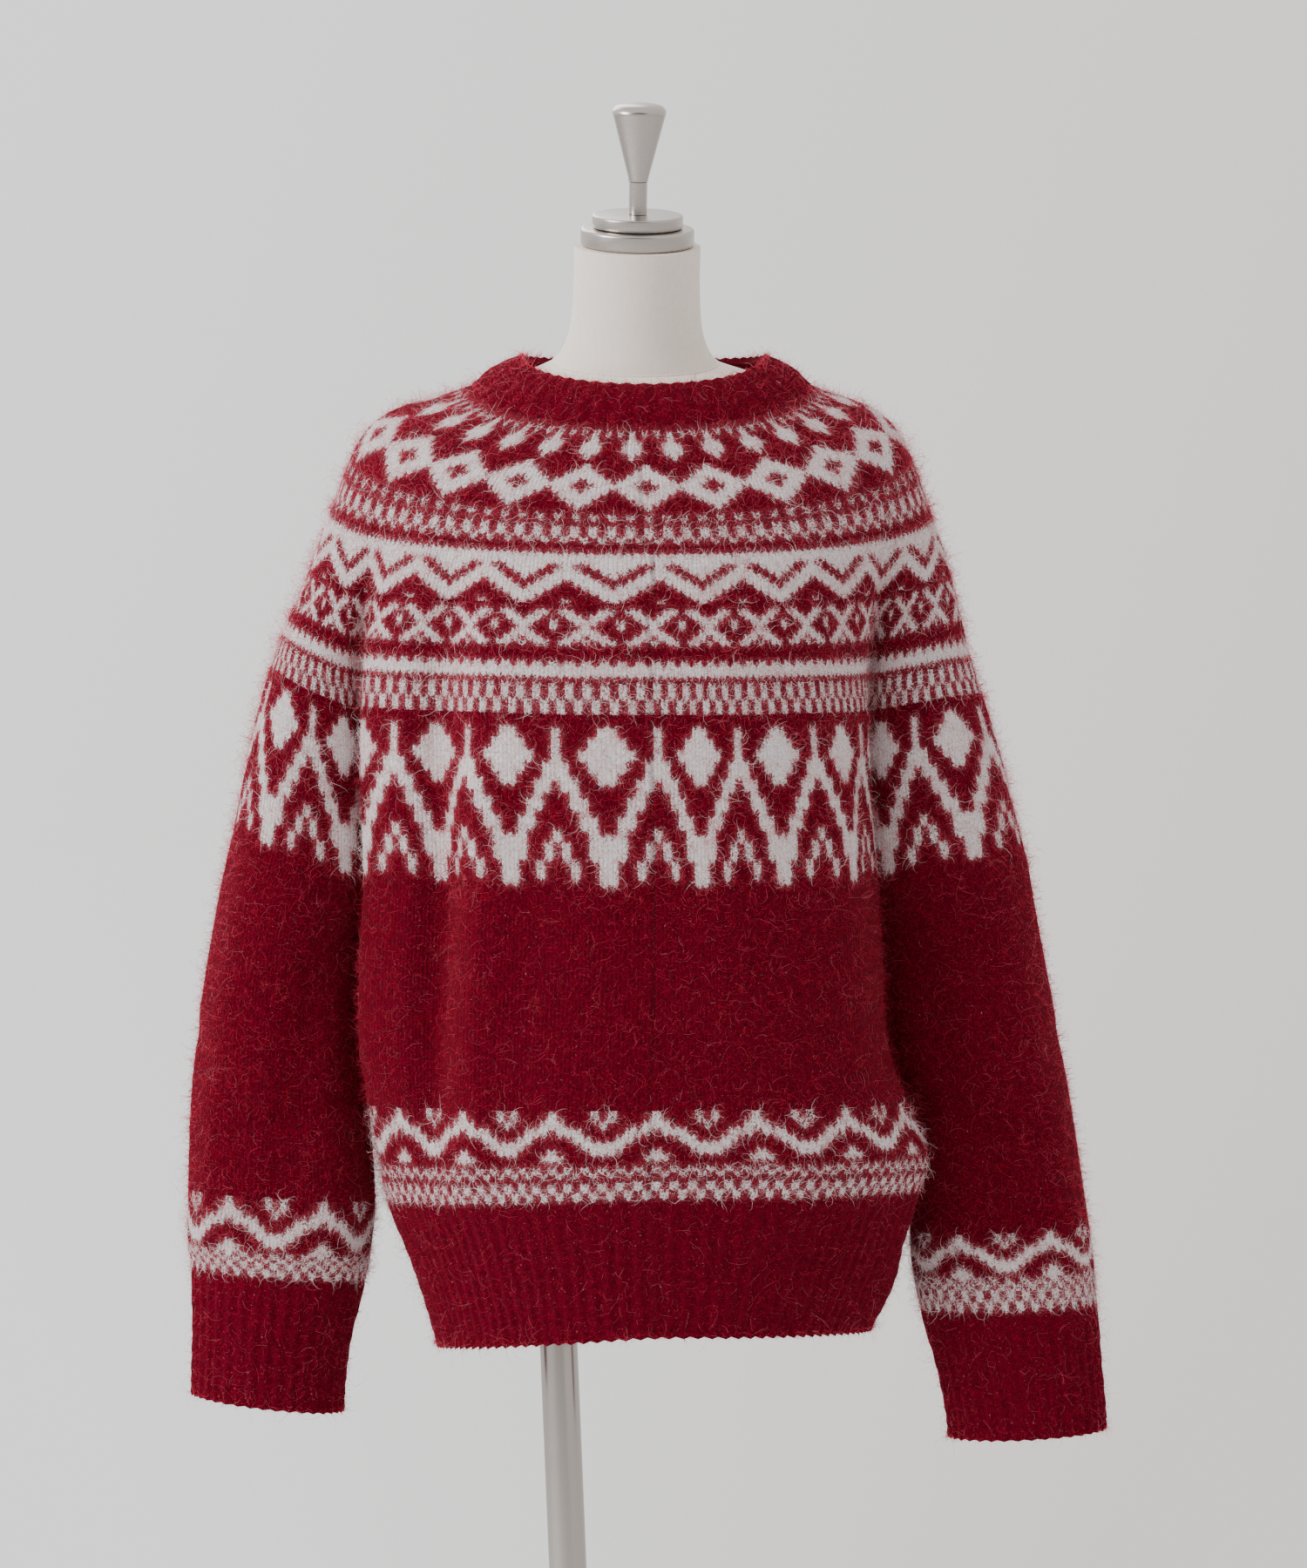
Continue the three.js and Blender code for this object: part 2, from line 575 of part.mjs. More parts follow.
function hemRib() {
  const ats = divided(BODY_KEYS, BODY_STITCHES, 2);
  const surface = lowered(bodySurface, 2 * SEAM);
  const levels = spread(HEM_ROW, BODY_ROWS.length - 1, RIB_PARTS);
  return part('hem_rib', clothTube(surface, ats, levels, BODY_STITCHES, [HEM_ROW]), redKnit());
}

function sleevePieces(label, foot, rows, side) {
  const keys = sleeveTable(foot).map((st) => st.at);
  const ats = divided(keys, ARM_STITCHES, 2);
  if (side < 0) ats.reverse();
  const surface = sleeveSurface(foot, rows, side);
  const cuffLevels = spread(CUFF_ROW, rows.length, RIB_PARTS);
  const upper = armTube(lowered(surface), ats, SLEEVE_CUTS, side);
  const lower = armTube(lowered(surface, 2 * SEAM), ats, cuffLevels, side);
  return [
    part(`sleeve_${label}`, upper, redKnit()),
    part(`cuff_${label}`, lower, redKnit()),
  ];
}

// On the wearer's left the stitches run the other way round, so the tube is turned inside out.
function armTube(surface, ats, levels, side) {
  const edges = [0, CUFF_ROW];
  if (side > 0) return clothTube(surface, ats, levels, ARM_STITCHES, edges);
  const back = (at, level) => surface((ARM_STITCHES - at) % ARM_STITCHES, level);
  const reversed = ats.map((at) => (ARM_STITCHES - at) % ARM_STITCHES);
  return clothTube(back, reversed, levels, ARM_STITCHES, edges);
}

// ---------------------------------------------------------------- form and stand
function onPoleAxis(geometry) {
  geometry.rotateY(THREE.MathUtils.degToRad(-POLE.lean));
  return geometry;
}

function rod(radius, from, to, sides = ROUND_SIDES) {
  return onPoleAxis(turned([[0, from], [radius, from], [radius, to], [0, to]], sides));
}

function formTorso() {
  const turns = spread(0, TAU, TORSO_SIDES).slice(0, -1);
  const cuts = spread(0, TORSO_ROWS.length, 2 * TORSO_ROWS.length);
  const rings = cuts.map((level) => turns.map((turn) => torsoPoint(turn, level)));
  const shell = toSolid(ringSolid(rings.reverse()));
  const bore = toSolid(rod(POLE.radius + BORE.gap, BORE.foot, BORE.top));
  return part('form_torso', fromSolid(shell.subtract(bore)), linen());
}

function neckFrame(geometry) {
  geometry.rotateX(THREE.MathUtils.degToRad(NECK_TILT));
  geometry.rotateY(THREE.MathUtils.degToRad(NECK_LEAN));
  geometry.translate(NECK_FOOT.x, NECK_FOOT.y, NECK_FOOT.z);
  return geometry;
}

function formNeck() {
  const turns = spread(0, TAU, ROUND_SIDES).slice(0, -1);
  const rings = NECK_ROWS.map((row) => turns.map((turn) => neckPoint(row, turn)));
  return part('form_neck', ringSolid(rings), linen());
}

function onNeck(profile, start) {
  const geometry = turned(profile);
  geometry.translate(0, 0, start);
  return neckFrame(geometry);
}

function capLower() {
  return part('cap_lower', onNeck(discProfile(CAP), CAP.start), satinSteel());
}

function capUpper() {
  return part('cap_upper', onNeck(discProfile(DISC), DISC.start), satinSteel());
}

function stem() {
  const { radius, height, start } = STEM;
  const profile = [[0, 0], [radius, 0], [radius, height], [0, height]];
  return part('stem', onNeck(profile, start), satinSteel());
}

function finial() {
  const { foot, lip, rim, cone, band, dome, start } = FINIAL;
  const profile = [
    [0, 0], [foot, 0], [foot, lip], [rim, cone], [rim, cone + band],
    [rim * 0.86, cone + band + dome * 0.6], [rim * 0.5, cone + band + dome * 0.92],
    [0, cone + band + dome],
  ];
  return part('finial', onNeck(profile, start), satinSteel());
}

function pole() {
  const start = BASE.height + POLE.foot;
  return part('pole', rod(POLE.radius, start, POLE.top), satinSteel());
}

function poleSocket() {
  const { radius, height, round, gap, boreFrom, boreTo } = SOCKET;
  const ring = turned(discProfile({ radius, height, round }));
  ring.translate(0, 0, BASE.height + SEAM);
  const bore = toSolid(rod(POLE.radius + gap, boreFrom, boreTo));
  return part('pole_socket', fromSolid(toSolid(ring).subtract(bore)), satinSteel());
}

function baseDisc() {
  return part('base', turned(discProfile(BASE), BASE_SIDES), satinSteel());
}

// ---------------------------------------------------------------- the object
function sweater() {
  const group = new THREE.Group();
  group.add(neckband(), yoke(), body(), hemRib());
  group.add(...sleevePieces('left', FOOT_PLUS, SLEEVE_LEFT, 1));
  group.add(...sleevePieces('right', FOOT_MINUS, SLEEVE_RIGHT, -1));
  return group;
}

function dressForm() {
  const group = new THREE.Group();
  group.add(formTorso(), formNeck(), capLower(), capUpper(), stem(), finial());
  group.add(pole(), poleSocket(), baseDisc());
  return group;
}

const object = new THREE.Group();
object.add(sweater(), dressForm());

export default object;
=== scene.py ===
import logging
import math
from dataclasses import dataclass, field
from enum import Enum
from typing import Any, Iterable, Sequence

import bpy
import numpy as np
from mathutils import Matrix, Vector


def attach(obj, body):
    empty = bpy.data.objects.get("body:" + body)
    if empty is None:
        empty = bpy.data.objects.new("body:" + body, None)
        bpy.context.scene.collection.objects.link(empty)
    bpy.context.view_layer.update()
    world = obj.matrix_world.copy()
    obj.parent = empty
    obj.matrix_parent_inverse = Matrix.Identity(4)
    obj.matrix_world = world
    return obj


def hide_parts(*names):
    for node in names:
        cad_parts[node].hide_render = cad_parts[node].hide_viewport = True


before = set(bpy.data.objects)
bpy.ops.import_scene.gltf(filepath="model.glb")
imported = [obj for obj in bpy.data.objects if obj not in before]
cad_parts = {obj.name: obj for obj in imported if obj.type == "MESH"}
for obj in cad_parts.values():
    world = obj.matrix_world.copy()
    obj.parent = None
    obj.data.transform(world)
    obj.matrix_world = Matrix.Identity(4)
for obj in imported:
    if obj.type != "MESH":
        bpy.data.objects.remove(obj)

log = logging.getLogger("sweater")
logging.basicConfig(level=logging.INFO, format="%(message)s")
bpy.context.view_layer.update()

MM = 0.001
TAU = 2 * math.pi
SEAM = 0.3  # mm between neighbouring pieces
WALL = 2.6  # mm of worn cloth between its two faces

PANEL = 48  # half of the front or back panel at the foot of the yoke, stitches
SLEEVE_SHARE = 60  # stitches of the yoke that go on into a sleeve
GRAFT = 12  # stitches grafted under an arm
YOKE_ROUND = 4 * PANEL + 2 * SLEEVE_SHARE
BODY_ROUND = 4 * PANEL + 2 * GRAFT
ARM_ROUND = SLEEVE_SHARE + GRAFT
GRAFT_EASE = 1.8  # mm that the graft's edges bow apart
OVAL_POWER = 0.92  # below 1, a ring is a little squarer than an ellipse
EDGE_HAIR = 6.0  # how much thicker the loose hair is along a free edge
V_DROP = 0.55  # share of a row by which the middle of a stitch hangs lower
RIB_COLUMNS = 4  # columns of points from one rib to the next
RIB_HEIGHT = 0.85  # mm, mean height of a rib's ridge
RIB_SWELL = 0.3  # mm that the ridge swells and sinks from row to row
RIB_BEAT = 2.1  # radians of that swell from one row to the next
RIB_START = 0.35  # share of its height that the ridge has on its first row
NECK_ROUND, NECK_ROWS = 104, 9  # stitches and rows of the neckband
HEM_ROWS, CUFF_ROWS = 22, 20
LINING_RINGS = 16  # rings of points down the inside of a piece
ROUND_SAMPLES = 721  # places where the length round a piece is measured
PROBE_ROUND = 0.05  # step round, in places, to find the way out of the cloth
PROBE_DOWN = 0.02  # the same down the piece, as a share of one ring
FOLD_FADE = 0.35  # share of a fold's length over which each end fades out
ARMHOLE_LIFT = 14  # mm that a sleeve's top lies over the foot of the yoke, on average
TORSO_RINGS = 60
NECK_RINGS = 40
CENTRE = 0.01  # mm, radius left open at the middle of a turned face
SHARP = math.radians(35)  # a sharper edge than this isn't smoothed

Array = np.ndarray
Colour = tuple[float, float, float, float]
Colours = tuple[Colour, Colour]


class Yarn(Enum):
    """The two yarns of the knit."""

    GROUND = 0
    MOTIF = 1


class Style(Enum):
    """The kinds of knitting."""

    PATTERNED = "patterned"
    PLAIN = "plain"
    RIB = "rib"


# --------------------------------------------------------------- stations of the garment
# Ring at the foot of the yoke: stitches from the front centre, plan x and y, lift (mm).
FOOT_PLUS = np.array([
    (0, 37, -122, 0), (12, 90, -119, 0), (25, 146, -98, 2), (36, 176, -58, 4), (42, 181, -34, 6),
    (48, 173, -8, 6), (54, 188, -33, 6), (60, 214, -46, 11), (67, 250, -42, 18),
    (73, 275, -20, 22), (78, 281, 4, 24), (84, 273, 30, 24), (92, 240, 48, 16), (101, 200, 52, 8),
    (108, 173, 40, 8), (115, 181, 64, 8), (124, 164, 90, 8), (138, 114, 107, 8), (156, 37, 113, 8),
], dtype=float)
FOOT_MINUS = np.array([
    (0, 37, -122, 0), (11, -22, -120, 0), (22, -76, -106, 2), (29, -99, -72, 3),
    (35, -128, -68, 4), (42, -156, -42, 6), (48, -152, -12, 6), (53.5, -167, -34, 6),
    (61, -200, -46, 17), (68, -229, -39, 29), (74, -244, -17, 36), (78, -247, 4, 38),
    (84, -242, 27, 37), (91, -222, 46, 24), (100, -185, 53, 8), (108, -152, 42, 8),
    (114, -159, 66, 8), (122, -141, 92, 8), (136, -80, 109, 8), (156, 37, 113, 8),
], dtype=float)


@dataclass(frozen=True)
class YokeRow:
    """One ring of the yoke, in millimetres.

    Attributes:
        v: share of the way from the neck to the foot.
        z: height at the front centre.
        x: middle of the ring.
        reach: how far it goes to the wearer's left (+X) and right (-X).
        depth: how far it goes to the front and the back.
        rise: how much higher it runs at the +X side, the -X side and the back.
        tuck: where the armpit creases lie as a share of the reach, +X and -X.
        lobe: how far the ring has taken the folded shape of the foot.
    """

    v: float
    z: float
    x: float
    reach: tuple[float, float]
    depth: tuple[float, float]
    rise: tuple[float, float, float]
    tuck: tuple[float, float]
    lobe: float


YOKE_ROWS = (
    YokeRow(0, 1336, 27, (110, 114), (78, 74), (34, 34, 40), (0.58, 0.78), 0),
    YokeRow(0.17, 1292, 29, (163, 183), (102, 98), (52, 52, 52), (0.58, 0.78), 0.02),
    YokeRow(0.31, 1250, 31, (188, 213), (116, 110), (31, 35, 50), (0.58, 0.78), 0.12),
    YokeRow(0.47, 1205, 33, (201, 233), (124, 114), (26, 31, 40), (0.58, 0.77), 0.45),
    YokeRow(0.58, 1173, 35, (208, 248), (127, 114), (19, 34, 34), (0.58, 0.75), 0.7),
    YokeRow(0.77, 1113, 36, (226, 267), (126, 113), (18, 37, 22), (0.57, 0.71), 0.93),
    YokeRow(1, 1032, 37, (244, 284), (122, 113), (24, 38, 8), (0.557, 0.665), 1),
)


@dataclass(frozen=True)
class BodyRow:
    """One ring of the body or its rib, in millimetres.

    Attributes:
        z: height at the front centre.
        x: middle of the ring.
        reach: how far it goes to +X and to -X.
        depth: how far it goes to the front and the back.
        lobe: how far it keeps the shape of the foot of the yoke.
        dip: how much lower the -X side hangs.
        front_up: how much higher the front runs.
        pinch: how far the +X side is drawn in beside the sleeve.
    """

    z: float
    x: float
    reach: tuple[float, float]
    depth: tuple[float, float]
    lobe: float = 0.0
    dip: float = 0.0
    front_up: float = 0.0
    pinch: float = 0.0


BODY_ROWS = (
    BodyRow(1032, 37, (144, 193), (122, 113), 1),
    BodyRow(985, 37, (148, 196), (121, 114), 1),
    BodyRow(935, 36, (153, 196), (122, 115), 0.9, 1, 0, 2),
    BodyRow(890, 35, (171, 190), (123, 116), 0.6, 3, 2, 7),
    BodyRow(858, 35, (184, 185), (121, 115), 0.3, 6, 3, 17),
    BodyRow(834, 34, (181, 178), (117, 112), 0.15, 8, 4, 15),
    BodyRow(802, 34, (171, 164), (111, 106), 0.06, 9, 6, 6),
    BodyRow(772, 34, (158, 153), (106, 101), 0, 10, 7),
    BodyRow(742, 34, (143, 144), (103, 98), 0, 11, 8),
)
HEM_LEVEL = 5

# Sleeve rings: z, x, y, half width, half depth, slope (mm), from under the yoke to the cuff's edge.
SLEEVE_PLUS = (
    (1000, 234.5, 11, 55, 46, 12), (940, 244, 12, 58, 45, 6), (880, 256.5, 14, 56.5, 43, 4),
    (830, 262.5, 14, 58, 40, 3), (790, 265.5, 9, 60.5, 37, 2), (754, 270, 3, 58.5, 34.5, 2),
    (722, 275.5, -2, 54.5, 33, 2), (690, 280, -6, 52.5, 32, 2), (674, 281, -7, 52, 32, 3),
)
SLEEVE_MINUS = (
    (1004, -208.5, 8, 49.5, 47, 18), (940, -215, 8, 55, 45, 8), (880, -215.5, 6, 60, 43, 5),
    (830, -214.5, 3, 62, 40, 4), (796, -216, 1, 60.5, 37, 4), (777, -216.5, -1, 57.5, 34.5, 4),
    (742, -220.3, -4, 52.2, 33, 4), (712, -222.5, -6, 50.5, 32, 4), (694, -223, -7, 50, 31.5, 6),
)
CUFF_LEVEL = 6

# Plain rings: z, x, +X reach, -X reach, front, back, rise at the sides, rise at the back (mm).
BAND_ROWS = (
    (1364, 27, 80, 81, 62, 64, 26, 30), (1360, 27, 86, 88, 67, 68, 27, 31),
    (1350, 27, 98, 101, 73, 72, 31, 36), (1336, 27, 110, 114, 78, 74, 34, 40),
)
TORSO_ROWS = (
    (1358, 24, 76, 78, 58, 60, 20, 27), (1331, 27, 102, 106, 71, 67, 33, 38),
    (1290, 28, 153, 166, 94, 90, 47, 47), (1247, 28, 168, 186, 108, 101, 28, 42),
    (1202, 27, 152, 160, 115, 103, 22, 30), (1150, 26, 138, 144, 116, 97, 12, 16),
    (1100, 26, 134, 138, 112, 92, 6, 8), (1030, 26, 126, 130, 98, 84, 0, 0),
    (960, 26, 118, 124, 86, 78, 0, 0), (890, 27, 124, 128, 88, 84, 0, 0),
    (830, 29, 134, 134, 93, 92, 0, 0), (796, 30, 134, 132, 92, 92, 0, 0),
)


# --------------------------------------------------------------- curves
def oval(value: Array) -> Array:
    """A sine or cosine made a little squarer than an ellipse's."""
    return np.sign(value) * np.abs(value) ** OVAL_POWER


def mix(a: Any, b: Any, t: Any) -> Any:
    """The value a share t of the way from a to b."""
    return a + (b - a) * t


def along(keys: Sequence[float], points: Array, places: Array, period: float = 0.0) -> Array:
    """Catmull-Rom curve through unevenly spaced points.

    Args:
        keys: rising place of each point.
        points: the points, first axis as keys.
        places: where the curve is wanted.
        period: length of a closed curve, or 0 for an open one.

    Returns:
        The curve's points, first axis as places.
    """
    k = np.asarray(keys, dtype=float)
    p = np.asarray(points, dtype=float)
    spots = np.asarray(places, dtype=float)
    shape = (-1,) + (1,) * (p.ndim - 1)
    if period:
        k = np.concatenate(([k[-1] - period], k, [k[0] + period, k[1] + period]))
        p = np.concatenate((p[-1:], p, p[:2]))
        slope = (p[2:] - p[:-2]) / (k[2:] - k[:-2]).reshape(shape)
        k, p = k[1:-1], p[1:-1]
        spots = k[0] + (spots - k[0]) % period
    else:
        slope = np.empty_like(p)
        slope[1:-1] = (p[2:] - p[:-2]) / (k[2:] - k[:-2]).reshape(shape)
        slope[0] = (p[1] - p[0]) / (k[1] - k[0])
        slope[-1] = (p[-1] - p[-2]) / (k[-1] - k[-2])
    i = np.clip(np.searchsorted(k, spots, side="right") - 1, 0, len(k) - 2)
    span = (k[i + 1] - k[i]).reshape(shape)
    t = (spots - k[i]).reshape(shape) / span
    return ((2 * t**3 - 3 * t**2 + 1) * p[i] + (t**3 - 2 * t**2 + t) * span * slope[i]
            + (3 * t**2 - 2 * t**3) * p[i + 1] + (t**3 - t**2) * span * slope[i + 1])


def unit(vectors: Array) -> Array:
    """Vectors of length one."""
    return vectors / np.maximum(np.linalg.norm(vectors, axis=-1, keepdims=True), 1e-9)


@dataclass
class Lines:
    """A closed cloth surface: lines of points down the piece, one at each station round it.

    Attributes:
        keys: place of each line round the piece.
        levels: place of each point down a line.
        points: (line, level, 3) points in millimetres.
        period: places once round.
        nudge: sideways shift of the top edge, fading out by level 1.
        folds: soft folds pressed into it.
        outward: -1 where the lines go round the other way.
    """

    keys: Array
    levels: Array
    points: Array
    period: float
    nudge: float = 0.0
    folds: Sequence["Fold"] = field(default_factory=tuple)
    outward: float = 1.0

    def __call__(self, at: Array, level: Array) -> Array:
        """Points of the surface.

        Args:
            at: places round the piece.
            level: places down the piece.

        Returns:
            (level, at, 3) points in millimetres.
        """
        rings = along(self.levels, np.swapaxes(self.points, 0, 1), level)
        out = np.swapaxes(along(self.keys, np.swapaxes(rings, 0, 1), at, self.period), 0, 1)
        out[..., 0] += self.nudge * np.clip(1 - np.asarray(level), 0, 1)[:, None]
        return out

    def creased(self, at: Array, level: Array) -> Array:
        """The same points with the piece's soft folds pressed in.

        Args:
            at: places round the piece.
            level: places down the piece.

        Returns:
            (level, at, 3) points in millimetres.
        """
        points = self(at, level)
        if not self.folds:
            return points
        depth = sum(fold.depth_at(at, level, self.period) for fold in self.folds)
        return points + self.way_out(at, level) * depth[..., None]

    def way_out(self, at: Array, level: Array) -> Array:
        """The way out of the cloth.

        Args:
            at: places round the piece.
            level: places down the piece.

        Returns:
            (level, at, 3) directions of length one.
        """
        edge = (float(self.levels[0]), float(self.levels[-1]))
        small = PROBE_DOWN * (edge[1] - edge[0]) / max(len(self.levels) - 1, 1)
        round_ = self(at + PROBE_ROUND, level) - self(at - PROBE_ROUND, level)
        low = np.clip(np.asarray(level) + small, *edge)
        high = np.clip(np.asarray(level) - small, *edge)
        return self.outward * unit(np.cross(self(at, low) - self(at, high), round_))


@dataclass(frozen=True)
class Fold:
    """A soft trough (negative height) or ridge pressed into the cloth.

    Attributes:
        at: place round the piece where it starts.
        level: place down the piece where it starts.
        to_at: place round the piece where it ends.
        to_level: place down the piece where it ends.
        height: millimetres out of the cloth, or into it if negative.
        width: half width in stitches.
    """

    at: float
    level: float
    to_at: float
    to_level: float
    height: float
    width: float

    def depth_at(self, at: Array, level: Array, period: float) -> Array:
        """Height of the fold over the grid of places.

        Args:
            at: places round the piece.
            level: places down the piece.
            period: places once round.

        Returns:
            (level, at) heights in millimetres.
        """
        run = self.to_level - self.level
        t = (np.asarray(level)[:, None] - self.level) / run
        line = self.at + (self.to_at - self.at) * np.clip(t, -FOLD_FADE, 1 + FOLD_FADE)
        away = (np.asarray(at)[None, :] - line + period / 2) % period - period / 2
        ends = (np.clip((t + FOLD_FADE) / FOLD_FADE, 0, 1)
                * np.clip((1 + FOLD_FADE - t) / FOLD_FADE, 0, 1))
        ends = ends**2 * (3 - 2 * ends)
        return self.height * ends * np.exp(-((away / self.width) ** 2))


# Soft folds, in stitches round and ring numbers down: place, ring, place, ring, height, half width.
YOKE_FOLDS = (
    Fold(288, 0.84, 288, 1.2, 4.0, 4.5), Fold(296, 0.86, 296, 1.2, -3.0, 4.0),
    Fold(36, 0.84, 37, 1.2, -3.0, 4.0), Fold(28, 0.86, 28, 1.2, 2.2, 5.0),
    Fold(144, 0.80, 143, 1.2, -3.4, 5.0), Fold(172, 0.82, 173, 1.2, 3.2, 6.0),
)
BODY_FOLDS = (
    Fold(192, 0, 189, 4.3, 4.0, 4.5), Fold(200, 0, 198, 3.6, -3.0, 4.0),
    Fold(37, 0, 41, 2.4, -3.0, 4.0), Fold(28, 0, 31, 3.4, 2.2, 5.0),
    Fold(6, 2.2, 10, 4.6, -2.0, 6.0), Fold(20, 3.2, 14, 5.6, 1.6, 5.0),
    Fold(95, 0, 92, 4.0, -3.4, 5.0), Fold(125, 0, 128, 4.2, 3.2, 6.0),
    Fold(110, 1.8, 108, 4.4, -2.4, 6.0),
)
ARM_FOLDS = (
    Fold(12, 1.3, 19, 4.2, -3.4, 3.4), Fold(25, 1.3, 28, 4.6, 2.6, 4.0),
    Fold(9, 2.7, 27, 3.3, -2.2, 4.0), Fold(32, 2.2, 20, 3.0, -1.8, 4.0),
    Fold(58, 1.3, 52, 4.2, -3.0, 3.6), Fold(46, 1.4, 44, 4.4, 2.2, 4.0),
    Fold(62, 2.8, 46, 3.4, -2.0, 4.0),
)


# --------------------------------------------------------------- the garment's shape
def halves(plus: Array, minus: Array, period: float) -> list[tuple[float, int, Array]]:
    """Stations of a closed ring, the +X half first, then the -X half from the back.

    Args:
        plus: table of the +X half, from the front centre to the back.
        minus: table of the -X half, likewise.
        period: places once round.

    Returns:
        Place, side and row of the table for each line round the ring.
    """
    right = [(row[0], 1, row) for row in plus]
    left = [(period - row[0], -1, row) for row in minus[1:-1][::-1]]
    return right + left


def yoke_point(row: YokeRow, side: int, station: Array) -> tuple[float, float, float]:
    """One station of one ring of the yoke.

    Args:
        row: the ring.
        side: +1 for the wearer's left, -1 for the right.
        station: the station's row of the foot's table.

    Returns:
        The point in millimetres.
    """
    foot, hand = YOKE_ROWS[-1], 0 if side > 0 else 1
    half, fx, fy, lift = station
    turn = TAU * half / YOKE_ROUND
    share = abs(fx - foot.x) / foot.reach[hand]
    from_, tuck = foot.tuck[hand], row.tuck[hand]
    if share < from_:
        share = share * tuck / from_
    else:
        share = tuck + (share - from_) * (1 - tuck) / (1 - from_)
    face = 0 if fy < 0 else 1
    cos = math.cos(turn)
    x = mix(oval(math.sin(turn)), share, row.lobe)
    plain_y = -oval(cos) * row.depth[0 if cos > 0 else 1]
    y = mix(plain_y, row.depth[face] * fy / foot.depth[face], row.lobe)
    rise = row.rise[hand]
    plain = rise * (1 - cos) if cos > 0 else mix(rise, row.rise[2], -cos)
    folded = lift / foot.rise[hand] * rise + max(0.0, -cos) * (row.rise[2] - foot.rise[2])
    return row.x + side * row.reach[hand] * x, y, row.z + mix(plain, folded, row.lobe)


def yoke_lines() -> Lines:
    """The yoke's outer face.

    Returns:
        The surface; level 0 is the neck and level 1 the foot.
    """
    stations = halves(FOOT_PLUS, FOOT_MINUS, YOKE_ROUND)
    points = [[yoke_point(row, side, st) for row in YOKE_ROWS] for _, side, st in stations]
    keys = np.array([at for at, _, _ in stations])
    return Lines(keys, np.array([row.v for row in YOKE_ROWS]), np.array(points), YOKE_ROUND,
                 folds=YOKE_FOLDS)


def graft_middle(foot: Array, at: float, ease: float) -> Array:
    """The middle of the underarm graft.

    Args:
        foot: table of the foot of the yoke.
        at: the place that the middle gets.
        ease: how far it bows away from the body's middle, in millimetres.

    Returns:
        A row of such a table: place, x, y and lift.
    """
    a, b = foot[foot[:, 0] == PANEL][0], foot[foot[:, 0] == PANEL + SLEEVE_SHARE][0]
    x = (a[1] + b[1]) / 2
    return np.array([at, x + math.copysign(ease, x), (a[2] + b[2]) / 2, (a[3] + b[3]) / 2])


def body_foot(foot: Array) -> Array:
    """The foot's table with the sleeve taken out and the graft put in.

    Args:
        foot: table of the foot of the yoke.

    Returns:
        The same kind of table for the top of the body.
    """
    back = foot[foot[:, 0] >= PANEL + SLEEVE_SHARE].copy()
    back[:, 0] -= SLEEVE_SHARE - GRAFT
    middle = graft_middle(foot, PANEL + GRAFT / 2, -GRAFT_EASE / 2)
    return np.vstack((foot[foot[:, 0] <= PANEL], middle, back))


def body_point(level: int, side: int, station: Array) -> tuple[float, float, float]:
    """One station of one ring of the body.

    Args:
        level: which ring.
        side: +1 for the wearer's left, -1 for the right.
        station: the station's row of the body's table.

    Returns:
        The point in millimetres.
    """
    row, top, hand = BODY_ROWS[level], BODY_ROWS[0], 0 if side > 0 else 1
    half, fx, fy, lift = station
    turn = TAU * half / BODY_ROUND
    cos, face = math.cos(turn), 0 if fy < 0 else 1
    x = mix(oval(math.sin(turn)), abs(fx - top.x) / top.reach[hand], row.lobe)
    plain_y = -oval(cos) * row.depth[0 if cos > 0 else 1]
    y = mix(plain_y, row.depth[face] * fy / top.depth[face], row.lobe)
    z = row.z + (lift if level == 0 else 0) + row.front_up * max(0.0, cos)
    z -= row.dip * math.sin(turn) if side < 0 else 0
    behind = side > 0 and PANEL <= half < BODY_ROUND / 2 - PANEL / 2
    return row.x + side * row.reach[hand] * x - (row.pinch if behind else 0), y, z


def body_lines() -> Lines:
    """The outer face of the body and its rib.

    Returns:
        The surface; level 0 is the foot of the yoke.
    """
    stations = halves(body_foot(FOOT_PLUS), body_foot(FOOT_MINUS), BODY_ROUND)
    levels = range(len(BODY_ROWS))
    points = [[body_point(k, side, st) for k in levels] for _, side, st in stations]
    keys = np.array([at for at, _, _ in stations])
    return Lines(keys, np.arange(len(BODY_ROWS)), np.array(points), BODY_ROUND, folds=BODY_FOLDS)


def sleeve_lines(side: int) -> Lines:
    """The outer face of a sleeve and its cuff.

    Args:
        side: +1 for the wearer's left, -1 for the right.

    Returns:
        The surface; level 0 is the foot of the yoke.
    """
    foot = FOOT_PLUS if side > 0 else FOOT_MINUS
    rings = SLEEVE_PLUS if side > 0 else SLEEVE_MINUS
    arc = foot[(foot[:, 0] >= PANEL) & (foot[:, 0] <= PANEL + SLEEVE_SHARE)].copy()
    arc[:, 0] += GRAFT / 2 - PANEL
    table = np.vstack((graft_middle(foot, 0, GRAFT_EASE), arc))
    points = []
    for at, x, y, lift in table:
        turn = TAU * at / ARM_ROUND
        out = -math.cos(turn)
        line = [(x, y, YOKE_ROWS[-1].z + lift)]
        for z, rx, ry, wide, deep, slope in rings:
            line.append((rx + side * wide * out, ry - deep * math.sin(turn), z + slope * out))
        points.append(line)
    return Lines(table[:, 0], np.arange(len(rings) + 1), np.array(points), ARM_ROUND,
                 side * SEAM, ARM_FOLDS, side)


